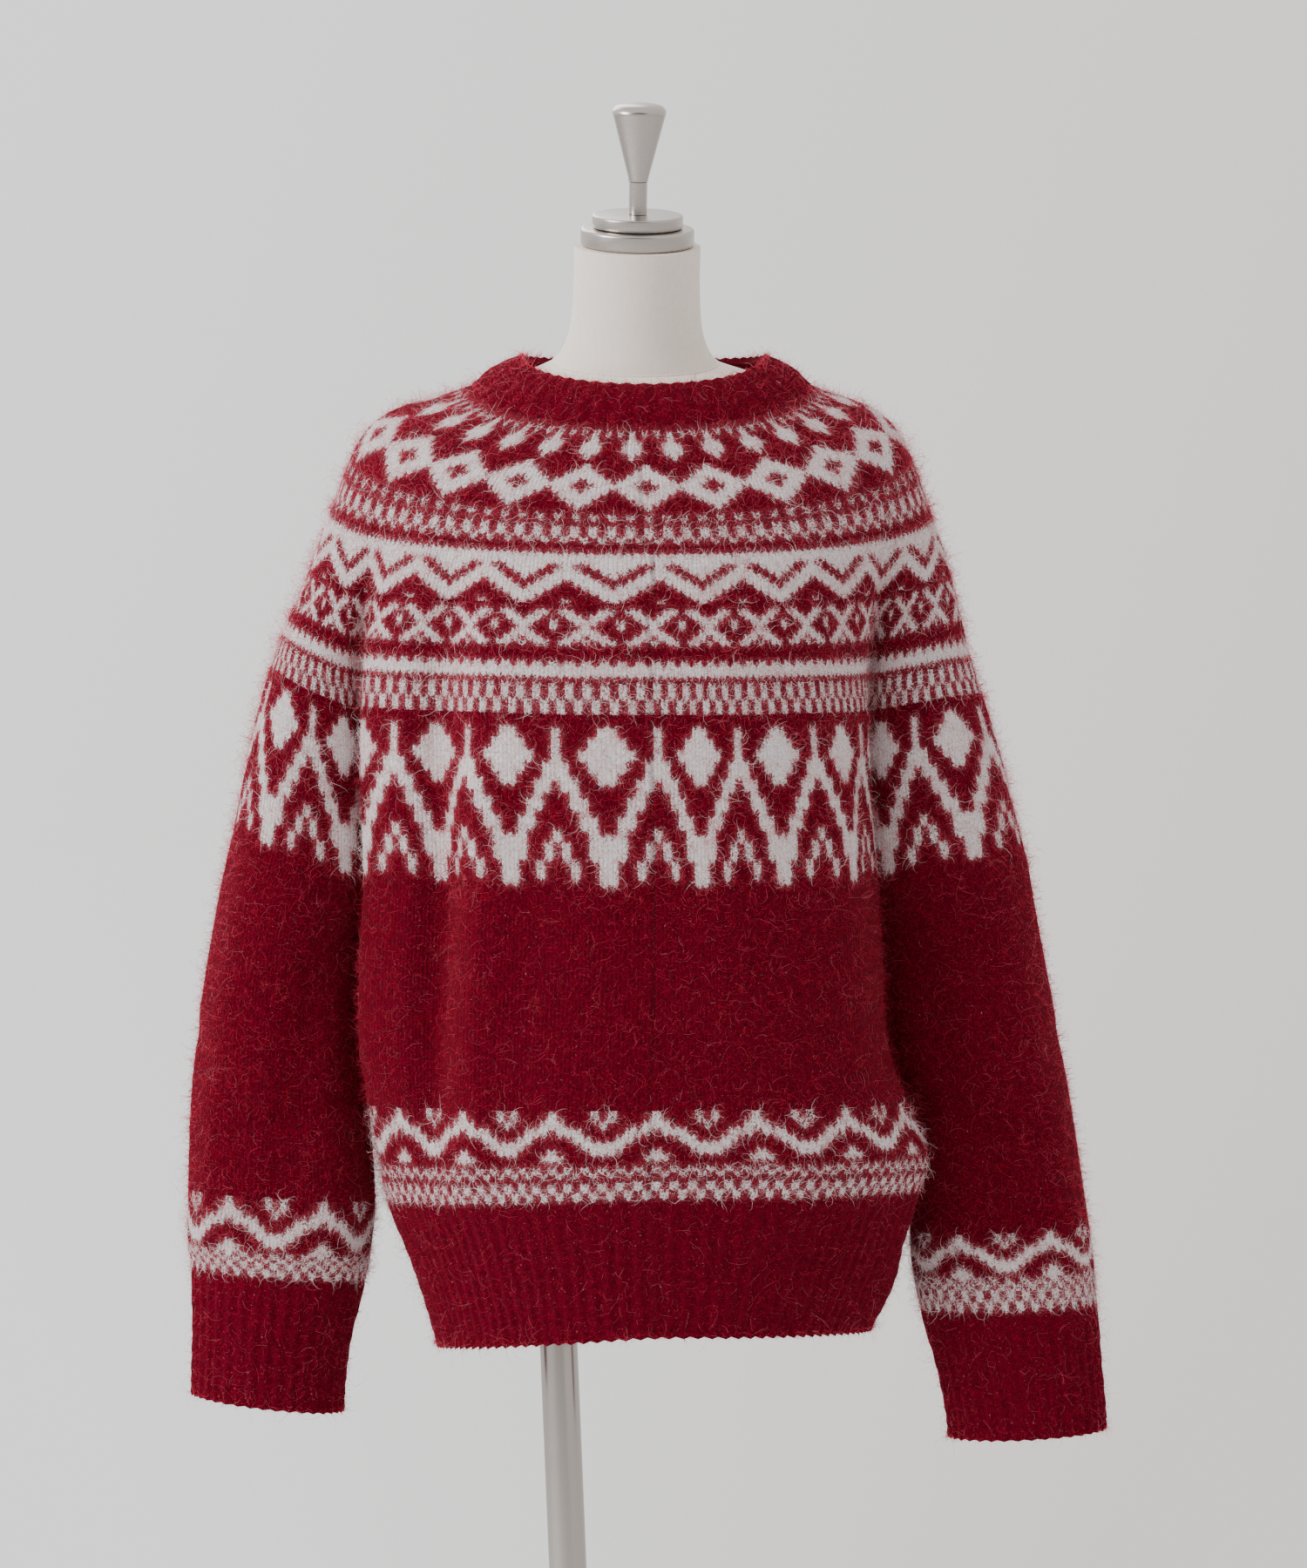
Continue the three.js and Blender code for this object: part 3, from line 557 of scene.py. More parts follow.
def plain_lines(rows: Sequence[Sequence[float]], stations: int) -> Lines:
    """A surface through plain level rings.

    Args:
        rows: table of rings, z, x, reaches, depths and rises.
        stations: how many lines go round.

    Returns:
        The surface, with places round it from 0 to TAU.
    """
    turn = np.linspace(0, TAU, stations, endpoint=False)
    sin, cos = np.sin(turn), np.cos(turn)
    points = np.empty((stations, len(rows), 3))
    for k, (z, x, plus, minus, front, back, rise, rise_back) in enumerate(rows):
        points[:, k, 0] = x + np.where(sin > 0, plus, minus) * oval(sin)
        points[:, k, 1] = -np.where(cos > 0, front, back) * oval(cos)
        lift = np.where(cos > 0, rise * (1 - cos), mix(rise, rise_back, -cos))
        points[:, k, 2] = z + lift
    return Lines(turn, np.arange(len(rows)), points, TAU)


# --------------------------------------------------------------- charts, X is the motif yarn
CROSSES = ("......", "X.X.X.", "X.....", "XX...X", "XX...X", "X.....", "......")
LOZENGES = (
    "X.......",
    "XX.....X",
    "XXX...XX",
    ".XXX.XXX",
    "..XXXXX.",
    ".XXX.XXX",
    "XXX...XX",
    "XX.....X",
    "X.......",
    "........",
    "X.X.X.X.",
    "........",
    "X.X.X.X.",
    "X.X.X.X.",
    ".X.X.X.X",
    "........",
)
SMALL_ZIGZAG = (
    "..........",
    "XXXXXXXXXX",
    "XXXXXXXXXX",
    "X..XXXXX..",
    "XX..XXX..X",
    "XXX..X..XX",
    ".XXX...XXX",
    "..XXX.XXX.",
    "...XXXXX..",
    "....XXX...",
    "X....X....",
)
LATTICE_AND_TEETH = (
    "........",
    "..XX.XX.",
    ".XX...XX",
    "XX..X..X",
    "X...X...",
    "XX.....X",
    ".XX...XX",
    "X.XX.XX.",
    "........",
    "........",
    "........",
    "X.X.X.X.",
    "XXXXXXXX",
    "XXXXXXXX",
    "........",
    "X.X.X.X.",
    "X.X.X.X.",
    "X.X.X.X.",
    ".X.X.X.X",
    ".X.X.X.X",
    ".X.X.X.X",
)
DIAMONDS = (
    "...........",
    "...........",
    "X....XX....",
    "X....XX....",
    "X...XXXX...",
    "X...XXXX...",
    "X..XXXXXX..",
    "X..XXXXXX..",
    "XX..XXXX..X",
    "XX..XXXX..X",
    "XX...XX...X",
    ".XX..XX..XX",
    ".XX......XX",
    "..X......X.",
    "..XX....XX.",
    "..XX....XX.",
    "...X....X..",
    "...XX..XX..",
    "...XX..XX..",
    "X...X..X...",
    "X...XXXX...",
    ".X..XXXX..X",
    ".X..XXXX..X",
    ".X..XXXX..X",
    "..X..XX..X.",
    "..X..XX..X.",
    "..X..XX..X.",
    ".....XX....",
    "...........",
    "...........",
)
WAVE = (
    "X....X.X....",
    "XX....X....X",
    ".XXX.....XXX",
    "...XX...XX..",
    "....XXXXX...",
    "X....XXX....",
    "XX.........X",
)
BODY_BAND = WAVE + (
    "............",
    "X.X.X.X.X.X.",
    ".X.X.X.X.X.X",
    "............",
    "X.X.X.X.X.X.",
    "X.X.X.X.X.X.",
    ".X.X.X.X.X.X",
    ".X.X.X.X.X.X",
    "............",
)
ARM_BAND = WAVE + BODY_BAND[8:10] + BODY_BAND[11:]


@dataclass(frozen=True)
class Course:
    """Rows of stitches knitted round with one stitch count.

    Attributes:
        levels: (place, place) down the piece of the first and last edge.
        rows: how many rows.
        stitches: stitches once round.
        chart: repeat of motif stitches.
        chart_row: the chart's first row.
        even: 1 where stitches share the round equally, 0 where they follow the stations.
        phase: shift of the chart, in stitches.
    """

    levels: tuple[float, float]
    rows: int
    stitches: int
    chart: tuple[str, ...] = ()
    chart_row: int = 0
    even: float = 0.0
    phase: float = 0.0

    def pattern(self) -> Array:
        """Lays the chart's repeat round the course.

        Returns:
            (row, stitch) array, 1 where the stitch is of the motif yarn.
        """
        out = np.zeros((self.rows, self.stitches))
        for k, line in enumerate(self.chart):
            cells = np.array([c == "X" for c in line], dtype=float)
            out[self.chart_row + k] = cells[np.arange(self.stitches) % len(line)]
        return out


# --------------------------------------------------------------- meshes
@dataclass
class Cloth:
    """Faces of a piece of cloth as they are laid down.

    Attributes:
        points: blocks of points, in millimetres.
        quads: blocks of four-cornered faces.
        triangles: blocks of three-cornered faces.
        motif: yarn of each four-cornered face.
        near: share of motif yarn close to each point.
        places: place of each point, in stitches and rows.
        edges: rings of points where the cloth turns sharply.
        count: how many points are laid down.
        flip: True where the faces are laid down inside out.
    """

    points: list[Array] = field(default_factory=list)
    quads: list[Array] = field(default_factory=list)
    triangles: list[Array] = field(default_factory=list)
    motif: list[Array] = field(default_factory=list)
    near: list[Array] = field(default_factory=list)
    places: list[Array] = field(default_factory=list)
    edges: list[Array] = field(default_factory=list)
    count: int = 0
    flip: bool = False

    def add_grid(self, grid: Array, motif: Array, near: Array, places: Array) -> Array:
        """Lays down a closed grid.

        Args:
            grid: (row, column, 3) points.
            motif: (row - 1, column) yarn of each face.
            near: (row, column) share of motif yarn close by.
            places: (row, column, 2) place in stitches and rows.

        Returns:
            (row, column) index of each point.
        """
        rows, columns = grid.shape[:2]
        index = self.count + np.arange(rows * columns).reshape(rows, columns)
        self.count += rows * columns
        self.points.append(grid.reshape(-1, 3))
        self.near.append(near.ravel())
        self.places.append(places.reshape(-1, 2))
        right = np.roll(index, -1, axis=1)
        faces = np.stack((index[:-1], index[1:], right[1:], right[:-1]), axis=-1)
        self.quads.append(faces.reshape(-1, 4))
        self.motif.append(motif.ravel())
        self.edges += [index[0], index[-1]]
        return index

    def join(self, upper: Array, lower: Array) -> None:
        """Closes the gap between two rings of points with different counts.

        Args:
            upper: indices of the upper ring.
            lower: indices of the lower ring, starting at the same place round.
        """
        a, b, i, j, out = len(upper), len(lower), 0, 0, []
        while i < a or j < b:
            if j >= b or (i < a and (i + 1) / a <= (j + 1) / b):
                out.append((upper[i % a], lower[j % b], upper[(i + 1) % a]))
                i += 1
            else:
                out.append((upper[i % a], lower[j % b], lower[(j + 1) % b]))
                j += 1
        self.triangles.append(np.array(out))

    def to_mesh(self, name: str) -> bpy.types.Object:
        """Makes the Blender object, with its yarn and place layers.

        Args:
            name: the object's name.

        Returns:
            The object.
        """
        quads = np.vstack(self.quads)
        triangles = np.vstack(self.triangles)
        if self.flip:
            quads, triangles = quads[:, ::-1], triangles[:, ::-1]
        mesh = faced_mesh(name, np.vstack(self.points), quads, triangles)
        mesh.polygons.foreach_set("use_smooth", np.ones(len(mesh.polygons), dtype=bool))
        motif = np.concatenate(self.motif + [np.zeros(len(triangles))])
        mesh.attributes.new("motif", "FLOAT", "FACE").data.foreach_set(
            "value", motif.astype(np.float32))
        near = np.concatenate(self.near)
        mesh.attributes.new("near", "FLOAT", "POINT").data.foreach_set(
            "value", near.astype(np.float32))
        on_edge = np.zeros(self.count, dtype=bool)
        on_edge[np.concatenate(self.edges)] = True
        ends = np.empty(2 * len(mesh.edges), dtype=np.int32)
        mesh.edges.foreach_get("vertices", ends)
        sharp = on_edge[ends.reshape(-1, 2)].all(axis=1)
        mesh.attributes.new("sharp_edge", "BOOLEAN", "EDGE").data.foreach_set("value", sharp)
        corners = np.concatenate((quads.ravel(), triangles.ravel()))
        places = np.vstack(self.places)[corners]
        mesh.uv_layers.new(name="stitches").data.foreach_set(
            "uv", places.astype(np.float32).ravel())
        return link(name, mesh)


def faced_mesh(name: str, points: Array, quads: Array, triangles: Array) -> bpy.types.Mesh:
    """A mesh straight from tables of faces.

    Args:
        name: the mesh's name.
        points: (point, 3) places in millimetres.
        quads: (face, 4) indices.
        triangles: (face, 3) indices.

    Returns:
        The mesh, in metres.
    """
    corners = np.concatenate((quads.ravel(), triangles.ravel())).astype(np.int32)
    starts = np.concatenate((np.arange(len(quads)) * 4,
                             len(quads) * 4 + np.arange(len(triangles)) * 3)).astype(np.int32)
    mesh = bpy.data.meshes.new(name)
    mesh.vertices.add(len(points))
    mesh.vertices.foreach_set("co", (points * MM).astype(np.float32).ravel())
    mesh.loops.add(len(corners))
    mesh.loops.foreach_set("vertex_index", corners)
    mesh.polygons.add(len(starts))
    mesh.polygons.foreach_set("loop_start", starts)
    mesh.update(calc_edges=True)
    return mesh


def link(name: str, mesh: bpy.types.Mesh) -> bpy.types.Object:
    """Puts a mesh into the scene.

    Args:
        name: the object's name.
        mesh: its mesh.

    Returns:
        The object.
    """
    obj = bpy.data.objects.new(name, mesh)
    bpy.context.scene.collection.objects.link(obj)
    return obj


def plain_mesh(name: str, points: Array, faces: Iterable[Sequence[int]]) -> bpy.types.Object:
    """A smooth object with sharp edges where it turns sharply.

    Args:
        name: the object's name.
        points: (point, 3) places in metres.
        faces: indices of each face's corners.

    Returns:
        The object.
    """
    mesh = bpy.data.meshes.new(name)
    mesh.from_pydata(np.asarray(points).tolist(), [], [tuple(f) for f in faces])
    mesh.update()
    mesh.polygons.foreach_set("use_smooth", np.ones(len(mesh.polygons), dtype=bool))
    mesh.set_sharp_from_angle(angle=SHARP)
    return link(name, mesh)


# --------------------------------------------------------------- shader sockets
class Wire:
    """A node's output that can be added, multiplied and so on."""

    def __init__(self, sheet: "Nodes", socket: bpy.types.NodeSocket) -> None:
        """Wraps one output socket."""
        self.sheet, self.socket = sheet, socket

    def _math(self, kind: str, *values: Any) -> "Wire":
        """Adds one Math node on this value and others."""
        return self.sheet.math(kind, *values)

    def __add__(self, other: Any) -> "Wire":
        """Sum."""
        return self._math("ADD", self, other)

    __radd__ = __add__

    def __sub__(self, other: Any) -> "Wire":
        """Difference."""
        return self._math("SUBTRACT", self, other)

    def __rsub__(self, other: Any) -> "Wire":
        """Difference, the other way round."""
        return self._math("SUBTRACT", other, self)

    def __mul__(self, other: Any) -> "Wire":
        """Product."""
        return self._math("MULTIPLY", self, other)

    __rmul__ = __mul__

    def __truediv__(self, other: Any) -> "Wire":
        """Quotient."""
        return self._math("DIVIDE", self, other)

    def __rtruediv__(self, other: Any) -> "Wire":
        """Quotient, the other way round."""
        return self._math("DIVIDE", other, self)

    def __pow__(self, other: Any) -> "Wire":
        """Power."""
        return self._math("POWER", self, other)

    def __rpow__(self, other: Any) -> "Wire":
        """Power, the other way round."""
        return self._math("POWER", other, self)

    def __abs__(self) -> "Wire":
        """Size without sign."""
        return self._math("ABSOLUTE", self)


class Nodes:
    """A material's or world's node tree."""

    def __init__(self, tree: bpy.types.NodeTree) -> None:
        """Starts from an empty tree."""
        self.tree = tree
        tree.nodes.clear()

    def add(self, kind: str, settings: dict[str, Any] | None = None, **inputs: Any) -> Any:
        """Adds a node.

        Args:
            kind: the node's type name.
            settings: the node's own settings, set first.
            **inputs: value or wire of each socket by name, with _ for a space, or by
                number as Input_0.

        Returns:
            The node.
        """
        node = self.tree.nodes.new(kind)
        for key, value in (settings or {}).items():
            setattr(node, key, value)
        for key, value in inputs.items():
            slot = int(key[6:]) if key.startswith("Input_") else key.replace("_", " ")
            if isinstance(value, Wire):
                self.tree.links.new(value.socket, node.inputs[slot])
            else:
                node.inputs[slot].default_value = value
        return node

    def out(self, node: Any, name: str | int = 0) -> Wire:
        """One output of a node, ready for sums."""
        return Wire(self, node.outputs[name])

    def math(self, kind: str, *values: Any, clamp: bool = False) -> Wire:
        """Adds a Math node.

        Args:
            kind: what it works out.
            *values: its values or wires.
            clamp: True to keep the result from 0 to 1.

        Returns:
            The result.
        """
        inputs = {f"Input_{i}": value for i, value in enumerate(values)}
        settings = {"operation": kind, "use_clamp": clamp}
        return self.out(self.add("ShaderNodeMath", settings, **inputs))

    def clamp(self, value: Wire) -> Wire:
        """The value kept from 0 to 1."""
        return self.math("ADD", value, 0.0, clamp=True)

    def blend(self, share: Any, a: Any, b: Any) -> Wire:
        """A colour a share of the way from a to b."""
        node = self.add("ShaderNodeMix", {"data_type": "RGBA"}, Input_0=share, Input_6=a, Input_7=b)
        return self.out(node, 2)

    def noise(self, place: Wire, scale: float, detail: float = 2.0, shift: float = 0.0) -> Wire:
        """Soft noise around 0.5.

        Args:
            place: where on the piece.
            scale: how many swells there are in one unit of the place.
            detail: how many finer layers lie on the first.
            shift: moves the noise, so that two of one scale differ.

        Returns:
            The noise.
        """
        if shift:
            node = self.add("ShaderNodeVectorMath", {"operation": "ADD"}, Input_0=place,
                            Input_1=(shift, -shift, 2 * shift))
            place = self.out(node)
        return self.out(self.add("ShaderNodeTexNoise", None, Vector=place, Scale=scale,
                                 Detail=detail, Roughness=0.55))

    def strands(self, place: Wire, scale: float, width: float, shift: float) -> Wire:
        """Thin curling lines, 1 on a line and 0 off it."""
        line = abs(self.noise(place, scale, 1.0, shift) - 0.5)
        return self.clamp(1 - line / width)

    def finish(self, shader: Any) -> None:
        """Wires a shader node to the material's output."""
        out = self.add("ShaderNodeOutputMaterial")
        self.tree.links.new(shader.outputs[0], out.inputs["Surface"])


def rgb(red: float, green: float, blue: float) -> Colour:
    """An opaque linear colour."""
    return red, green, blue, 1.0


def new_material(name: str) -> tuple[bpy.types.Material, Nodes]:
    """Starts a material.

    Args:
        name: the material's name.

    Returns:
        The material and its empty node tree.
    """
    material = bpy.data.materials.new(name)
    material.use_nodes = True
    return material, Nodes(material.node_tree)


@dataclass(frozen=True)
class MohairFinish:
    """Brushed mohair knit in one or two yarns.

    Attributes:
        name: the material's name.
        rib: True for ribbed knit, whose ridges are in the mesh.
        ground: deep and light colour of the ground yarn.
        pale: deep and light colour of the motif yarn.
        down: colour of the loose hairs over the ground.
        haze: colour of motif hair brushed over the ground beside it.
        stray: colour of ground hair lying over the motif.
        sheen: tint of the fuzz at grazing light.
        cloud: swells a metre in the dye's slow changes.
        tuft: swells a metre in the brushed tufts.
        fray: swells a metre in the broken edge between two yarns.
        lying: scale, width and shift of each layer of hair lying on the cloth.
        threshold: how much of the motif yarn has to be near for its colour to show.
        crisp: how sharply one yarn's colour gives way to the other's.
    """

    name: str
    rib: bool = False
    ground: Colours = (rgb(0.048, 0.0001, 0.0045), rgb(0.205, 0.0005, 0.0165))
    pale: Colours = (rgb(0.60, 0.57, 0.57), rgb(0.92, 0.90, 0.90))
    down: Colour = rgb(0.42, 0.020, 0.045)
    haze: Colour = rgb(0.55, 0.11, 0.15)
    stray: Colour = rgb(0.56, 0.14, 0.18)
    sheen: Colour = rgb(1.0, 0.16, 0.22)
    cloud: float = 260.0
    tuft: float = 900.0
    fray: float = 1500.0
    lying: tuple[tuple[float, float, float], ...] = (
        (210, 0.012, 0.7), (330, 0.014, 5.3), (150, 0.008, 9.1))
    threshold: float = 0.56
    crisp: float = 4.0

    def make(self) -> bpy.types.Material:
        """Builds the material.

        Returns:
            The material.
        """
        material, n = new_material(self.name)
        place = n.out(n.add("ShaderNodeTexCoord"), "Object")
        motif = n.out(n.add("ShaderNodeAttribute", {"attribute_name": "motif"}), "Fac")
        near = n.out(n.add("ShaderNodeAttribute", {"attribute_name": "near"}), "Fac")
        tuft = n.noise(place, self.tuft, 2.0, 3.1)
        first, second, third = (n.strands(place, *layer) for layer in self.lying)
        hairs = n.clamp(first + second + third)
        red = self._ground_yarn(n, place, tuft, hairs, near)
        red = n.blend(n.clamp(near * (1 - motif) * tuft * 1.2), red, self.haze)
        white = n.blend(n.clamp(tuft * 2.2 - 0.5), *self.pale)
        strays = n.clamp(hairs * (0.85 - near * 0.4) + (1 - near) * 0.3)
        white = n.blend(strays, white, self.stray)
        fray = n.noise(place, self.fray, 2.0, 6.4) + tuft - 1.0
        edge = motif * 0.34 + near * 0.66 + fray * 1.5 - hairs * (1.1 - near) * 0.55
        share = n.clamp((edge - self.threshold) * self.crisp + 0.5)
        height = self._relief(n) + tuft * 0.55 + hairs * 0.25
        bump = n.add("ShaderNodeBump", None, Strength=0.75, Distance=0.0011, Height=height)
        n.finish(n.add("ShaderNodeBsdfPrincipled", None, Base_Color=n.blend(share, red, white),
                       Normal=n.out(bump), Roughness=0.92, Specular_IOR_Level=0.05,
                       Sheen_Weight=0.16, Sheen_Roughness=0.40, Sheen_Tint=self.sheen))
        return material

    def _ground_yarn(self, n: Nodes, place: Wire, tuft: Wire, hairs: Wire, near: Wire) -> Wire:
        """Colour of the ground yarn with its own hairs.

        Args:
            n: the material's nodes.
            place: where on the piece.
            tuft: the brushed tufts.
            hairs: the hair lying on the cloth.
            near: share of motif yarn close by.

        Returns:
            The colour.
        """
        cloud = n.noise(place, self.cloud, 3.0)
        tone = n.clamp((cloud * 0.5 + tuft * 0.9 - 0.45) * 1.6)
        lying = n.clamp(hairs * (0.16 + near * 0.55))
        return n.blend(lying, n.blend(tone, *self.ground), self.down)

    def _relief(self, n: Nodes) -> Wire:
        """Height of the yarn's legs over one stitch.

        Args:
            n: the material's nodes.

        Returns:
            The height, about 0 to 1.
        """
        stitch = n.out(n.add("ShaderNodeUVMap", {"uv_map": "stitches"}))
        if self.rib:
            return n.noise(stitch, 1.3, 2.0) * 0.8
        axes = n.add("ShaderNodeSeparateXYZ", None, Vector=stitch)
        leg = n.math("FRACT", n.out(axes, "X") * 2)
        row = n.math("FRACT", n.out(axes, "Y"))
        return (leg * (1 - leg) * 4) ** 0.6 * 0.7 + row * (1 - row) * 1.6


@dataclass(frozen=True)
class HairFinish:
    """Plain loose hair of one colour, which lets light through.

    Attributes:
        name: the material's name.
        colour: colour of the hair's lit side.
        through: colour of the light that comes through it.
        clear: share of the light that goes through.
    """

    name: str
    colour: Colour
    through: Colour
    clear: float = 0.5

    def make(self) -> bpy.types.Material:
        """Builds the material.

        Returns:
            The material.
        """
        material, n = new_material(self.name)
        shader = n.add("ShaderNodeBsdfPrincipled", None, Base_Color=self.colour, Roughness=0.8,
                       Specular_IOR_Level=0.05)
        glow = n.add("ShaderNodeBsdfTranslucent", None, Color=self.through)
        n.finish(n.add("ShaderNodeMixShader", None, Input_0=self.clear, Input_1=n.out(shader),
                       Input_2=n.out(glow)))
        return material


@dataclass(frozen=True)
class LinenFinish:
    """Unbleached linen over the form.

    Attributes:
        name: the material's name.
        thread: threads across a metre.
        slub: how the thick places in the thread are drawn out along X, Y and Z.
        cloth: deep and light colour.
    """

    name: str = "linen_cover"
    thread: float = 1500.0
    slub: tuple[float, float, float] = (420.0, 420.0, 60.0)
    cloth: Colours = (rgb(0.90, 0.79, 0.70), rgb(0.99, 0.92, 0.85))

    def make(self) -> bpy.types.Material:
        """Builds the material.

        Returns:
            The material.
        """
        material, n = new_material(self.name)
        place = n.out(n.add("ShaderNodeTexCoord"), "Object")
        axes = n.add("ShaderNodeSeparateXYZ", None, Vector=place)
        warp = n.math("SINE", n.out(axes, "X") * (self.thread * math.pi))
        weft = n.math("SINE", n.out(axes, "Z") * (self.thread * math.pi))
        weave = n.clamp(warp * weft * 0.5 + 0.5)
        drawn = n.out(n.add("ShaderNodeMapping", None, Vector=place, Scale=self.slub))
        slub = n.noise(drawn, 1.0, 3.0)
        tone = n.clamp(weave * 0.35 + slub * 1.1 - 0.2)
        bump = n.add("ShaderNodeBump", None, Strength=0.35, Distance=0.0004,
                     Height=weave + slub * 0.7)
        n.finish(n.add("ShaderNodeBsdfPrincipled", None, Base_Color=n.blend(tone, *self.cloth),
                       Roughness=0.88, Normal=n.out(bump), Specular_IOR_Level=0.2))
        return material


@dataclass(frozen=True)
class SteelFinish:
    """Satin steel, brushed round the turned parts.

    Attributes:
        name: the material's name.
        colour: the metal's colour.
        rough: mean roughness.
        grain: brush marks a metre along X, Y and Z.
    """

    name: str = "satin_steel"
    colour: Colour = rgb(0.50, 0.46, 0.43)
    rough: float = 0.28
    grain: tuple[float, float, float] = (30.0, 30.0, 2600.0)

    def make(self) -> bpy.types.Material:
        """Builds the material.

        Returns:
            The material.
        """
        material, n = new_material(self.name)
        place = n.out(n.add("ShaderNodeTexCoord"), "Object")
        drawn = n.out(n.add("ShaderNodeMapping", None, Vector=place, Scale=self.grain))
        brushed = n.noise(drawn, 1.0, 2.0)
        n.finish(n.add("ShaderNodeBsdfPrincipled", None, Base_Color=self.colour, Metallic=1.0,
                       Roughness=brushed * 0.16 + (self.rough - 0.08)))
        return material


# --------------------------------------------------------------- knitted pieces
@dataclass
class Knit:
    """One knitted tube of the sweater.

    Attributes:
        name: the piece's name.
        node: the solid that it stands for.
        surface: its outer face.
        courses: its rows from top to bottom.
        finish: its material.
        flat: width and length of the cut, in metres; not used.
        rests_on: what carries it; not used.
        style: how it is knitted.
        slot: a name for its finish; not used.
        area: flat area in square metres where the cut isn't a rectangle; not used.
        scallop: height of the wave that the ribs give a free edge, in millimetres; it is
            positive where the first row is free, negative where the last one is.
        wall: thickness of the cloth, in millimetres.
        cloth: the faces laid down so far.
        outer_quads: how many of the four-cornered faces are the outside.
    """

    name: str
    node: str
    surface: Lines
    courses: Sequence[Course]
    finish: MohairFinish
    flat: tuple[float, float]
    rests_on: Sequence[str]
    style: Style = Style.PLAIN
    slot: str = "red_knit"
    area: float | None = None
    scallop: float = 0.0
    wall: float = WALL
    cloth: Cloth = field(default_factory=Cloth)
    outer_quads: int = 0

    def places_round(self, course: Course, columns: int, level: float) -> Array:
        """Where a course's columns of points lie, the first near the front centre.

        Args:
            course: the course.
            columns: how many columns go round.
            level: where down the piece the columns are spread fairly.

        Returns:
            Places round the piece.
        """
        period = self.surface.period
        step = np.arange(columns) / columns
        shift = (0.0 if self.style is Style.RIB else 0.5 - course.phase) / course.stitches
        turn = (step - shift) % 1.0
        if not course.even:
            return turn * period
        fine = np.linspace(0, period, ROUND_SAMPLES)
        ring = self.surface(fine, np.array([level]))[0]
        length = np.concatenate(([0], np.cumsum(np.linalg.norm(np.diff(ring, axis=0), axis=1))))
        fair = np.interp(turn, length / length[-1], fine)
        return mix(turn * period, fair, course.even)

    def knit_course(self, course: Course) -> Array:
        """Lays down one course of V-shaped stitches.

        Args:
            course: the rows to knit.

        Returns:
            (row, column) indices of its points.
        """
        columns = 2 * course.stitches
        middle = sum(course.levels) / 2
        at = self.places_round(course, columns, middle)
        edges = np.linspace(*course.levels, course.rows + 1)
        drop = V_DROP * (edges[1] - edges[0])
        low = edges.copy()
        low[1:-1] += drop
        grid = np.empty((len(edges), columns, 3))
        grid[:, 0::2] = self.surface.creased(at[0::2], edges)
        grid[:, 1::2] = self.surface.creased(at[1::2], low)
        motif = np.repeat(course.pattern(), 2, axis=1)
        padded = np.pad(motif, ((1, 1), (0, 0)))
        behind = np.roll(padded, 1, 1)
        near = (padded[:-1] + padded[1:] + behind[:-1] + behind[1:]) / 4
        near = (near * 2 + np.roll(near, 1, 1) + np.roll(near, -1, 1)) / 4
        return self.cloth.add_grid(grid, motif, near, stitch_places(*grid.shape[:2]))

    def rib_course(self, course: Course) -> Array:
        """Lays down one course of ribbing, two stitches to a rib.

        Args:
            course: the rows to knit.

        Returns:
            (row, column) indices of its points.
        """
        columns = 2 * course.stitches
        at = self.places_round(course, columns, sum(course.levels) / 2)
        edges = np.linspace(*course.levels, course.rows + 1)
        wave = np.cos(np.arange(columns) * TAU / RIB_COLUMNS)
        row = np.arange(len(edges))[:, None]
        uneven = RIB_HEIGHT + RIB_SWELL * np.sin(row * RIB_BEAT)
        fade = np.clip(row / 2, RIB_START, 1)
        grid = self.surface.creased(at, edges)
        out = self.surface.way_out(at, edges)
        grid = grid + out * (wave * uneven * fade)[..., None]
        if self.scallop > 0:
            grid[0, :, 2] += self.scallop * wave
        elif self.scallop < 0:
            grid[-1, :, 2] += self.scallop * wave
        plain = np.zeros(grid.shape[:2])
        return self.cloth.add_grid(grid, plain[1:], plain, stitch_places(*plain.shape))

    def line(self, outer: Sequence[Array]) -> None:
        """Lays down the inside and closes both edges.

        Args:
            outer: (row, column) indices of the points of each course.
        """
        first, last = self.courses[0], self.courses[-1]
        columns = min(len(outer[0][0]), len(outer[-1][0])) // 2
        edges = np.linspace(first.levels[0], last.levels[1], LINING_RINGS)
        at = self.places_round(first, columns, first.levels[0])
        out = self.surface.way_out(at, edges)
        grid = self.surface.creased(at, edges) - out * self.wall
        plain = np.zeros(grid.shape[:2])
        inner = self.cloth.add_grid(grid, plain[1:], plain, np.zeros(plain.shape + (2,)))
        self.cloth.quads[-1] = self.cloth.quads[-1][:, ::-1]
        self.cloth.join(inner[0], outer[0][0])
        self.cloth.join(outer[-1][-1], inner[-1])

    def build(self) -> None:
        lay = self.rib_course if self.style is Style.RIB else self.knit_course
        rings = [lay(course) for course in self.courses]
        self.outer_quads = len(np.vstack(self.cloth.quads))
        for upper, lower in zip(rings, rings[1:]):
            self.cloth.join(upper[-1], lower[0])
        self.line(rings)
        self.cloth.flip = self.surface.outward < 0
        obj = self.cloth.to_mesh(self.name)
        obj.data.materials.append(self.finish.make())
        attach(obj, "root")
        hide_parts(self.node)
        log.info("%s: %d faces", self.name, len(obj.data.polygons))


def stitch_places(rows: int, columns: int) -> Array:
    """Place of each point of a course, two columns to a stitch.

    Args:
        rows: rings of points.
        columns: points in a ring.

    Returns:
        (row, column, 2) places in stitches and rows.
    """
    across, down = np.meshgrid(np.arange(columns) / 2, np.arange(rows))
    return np.stack((across, down), axis=-1)


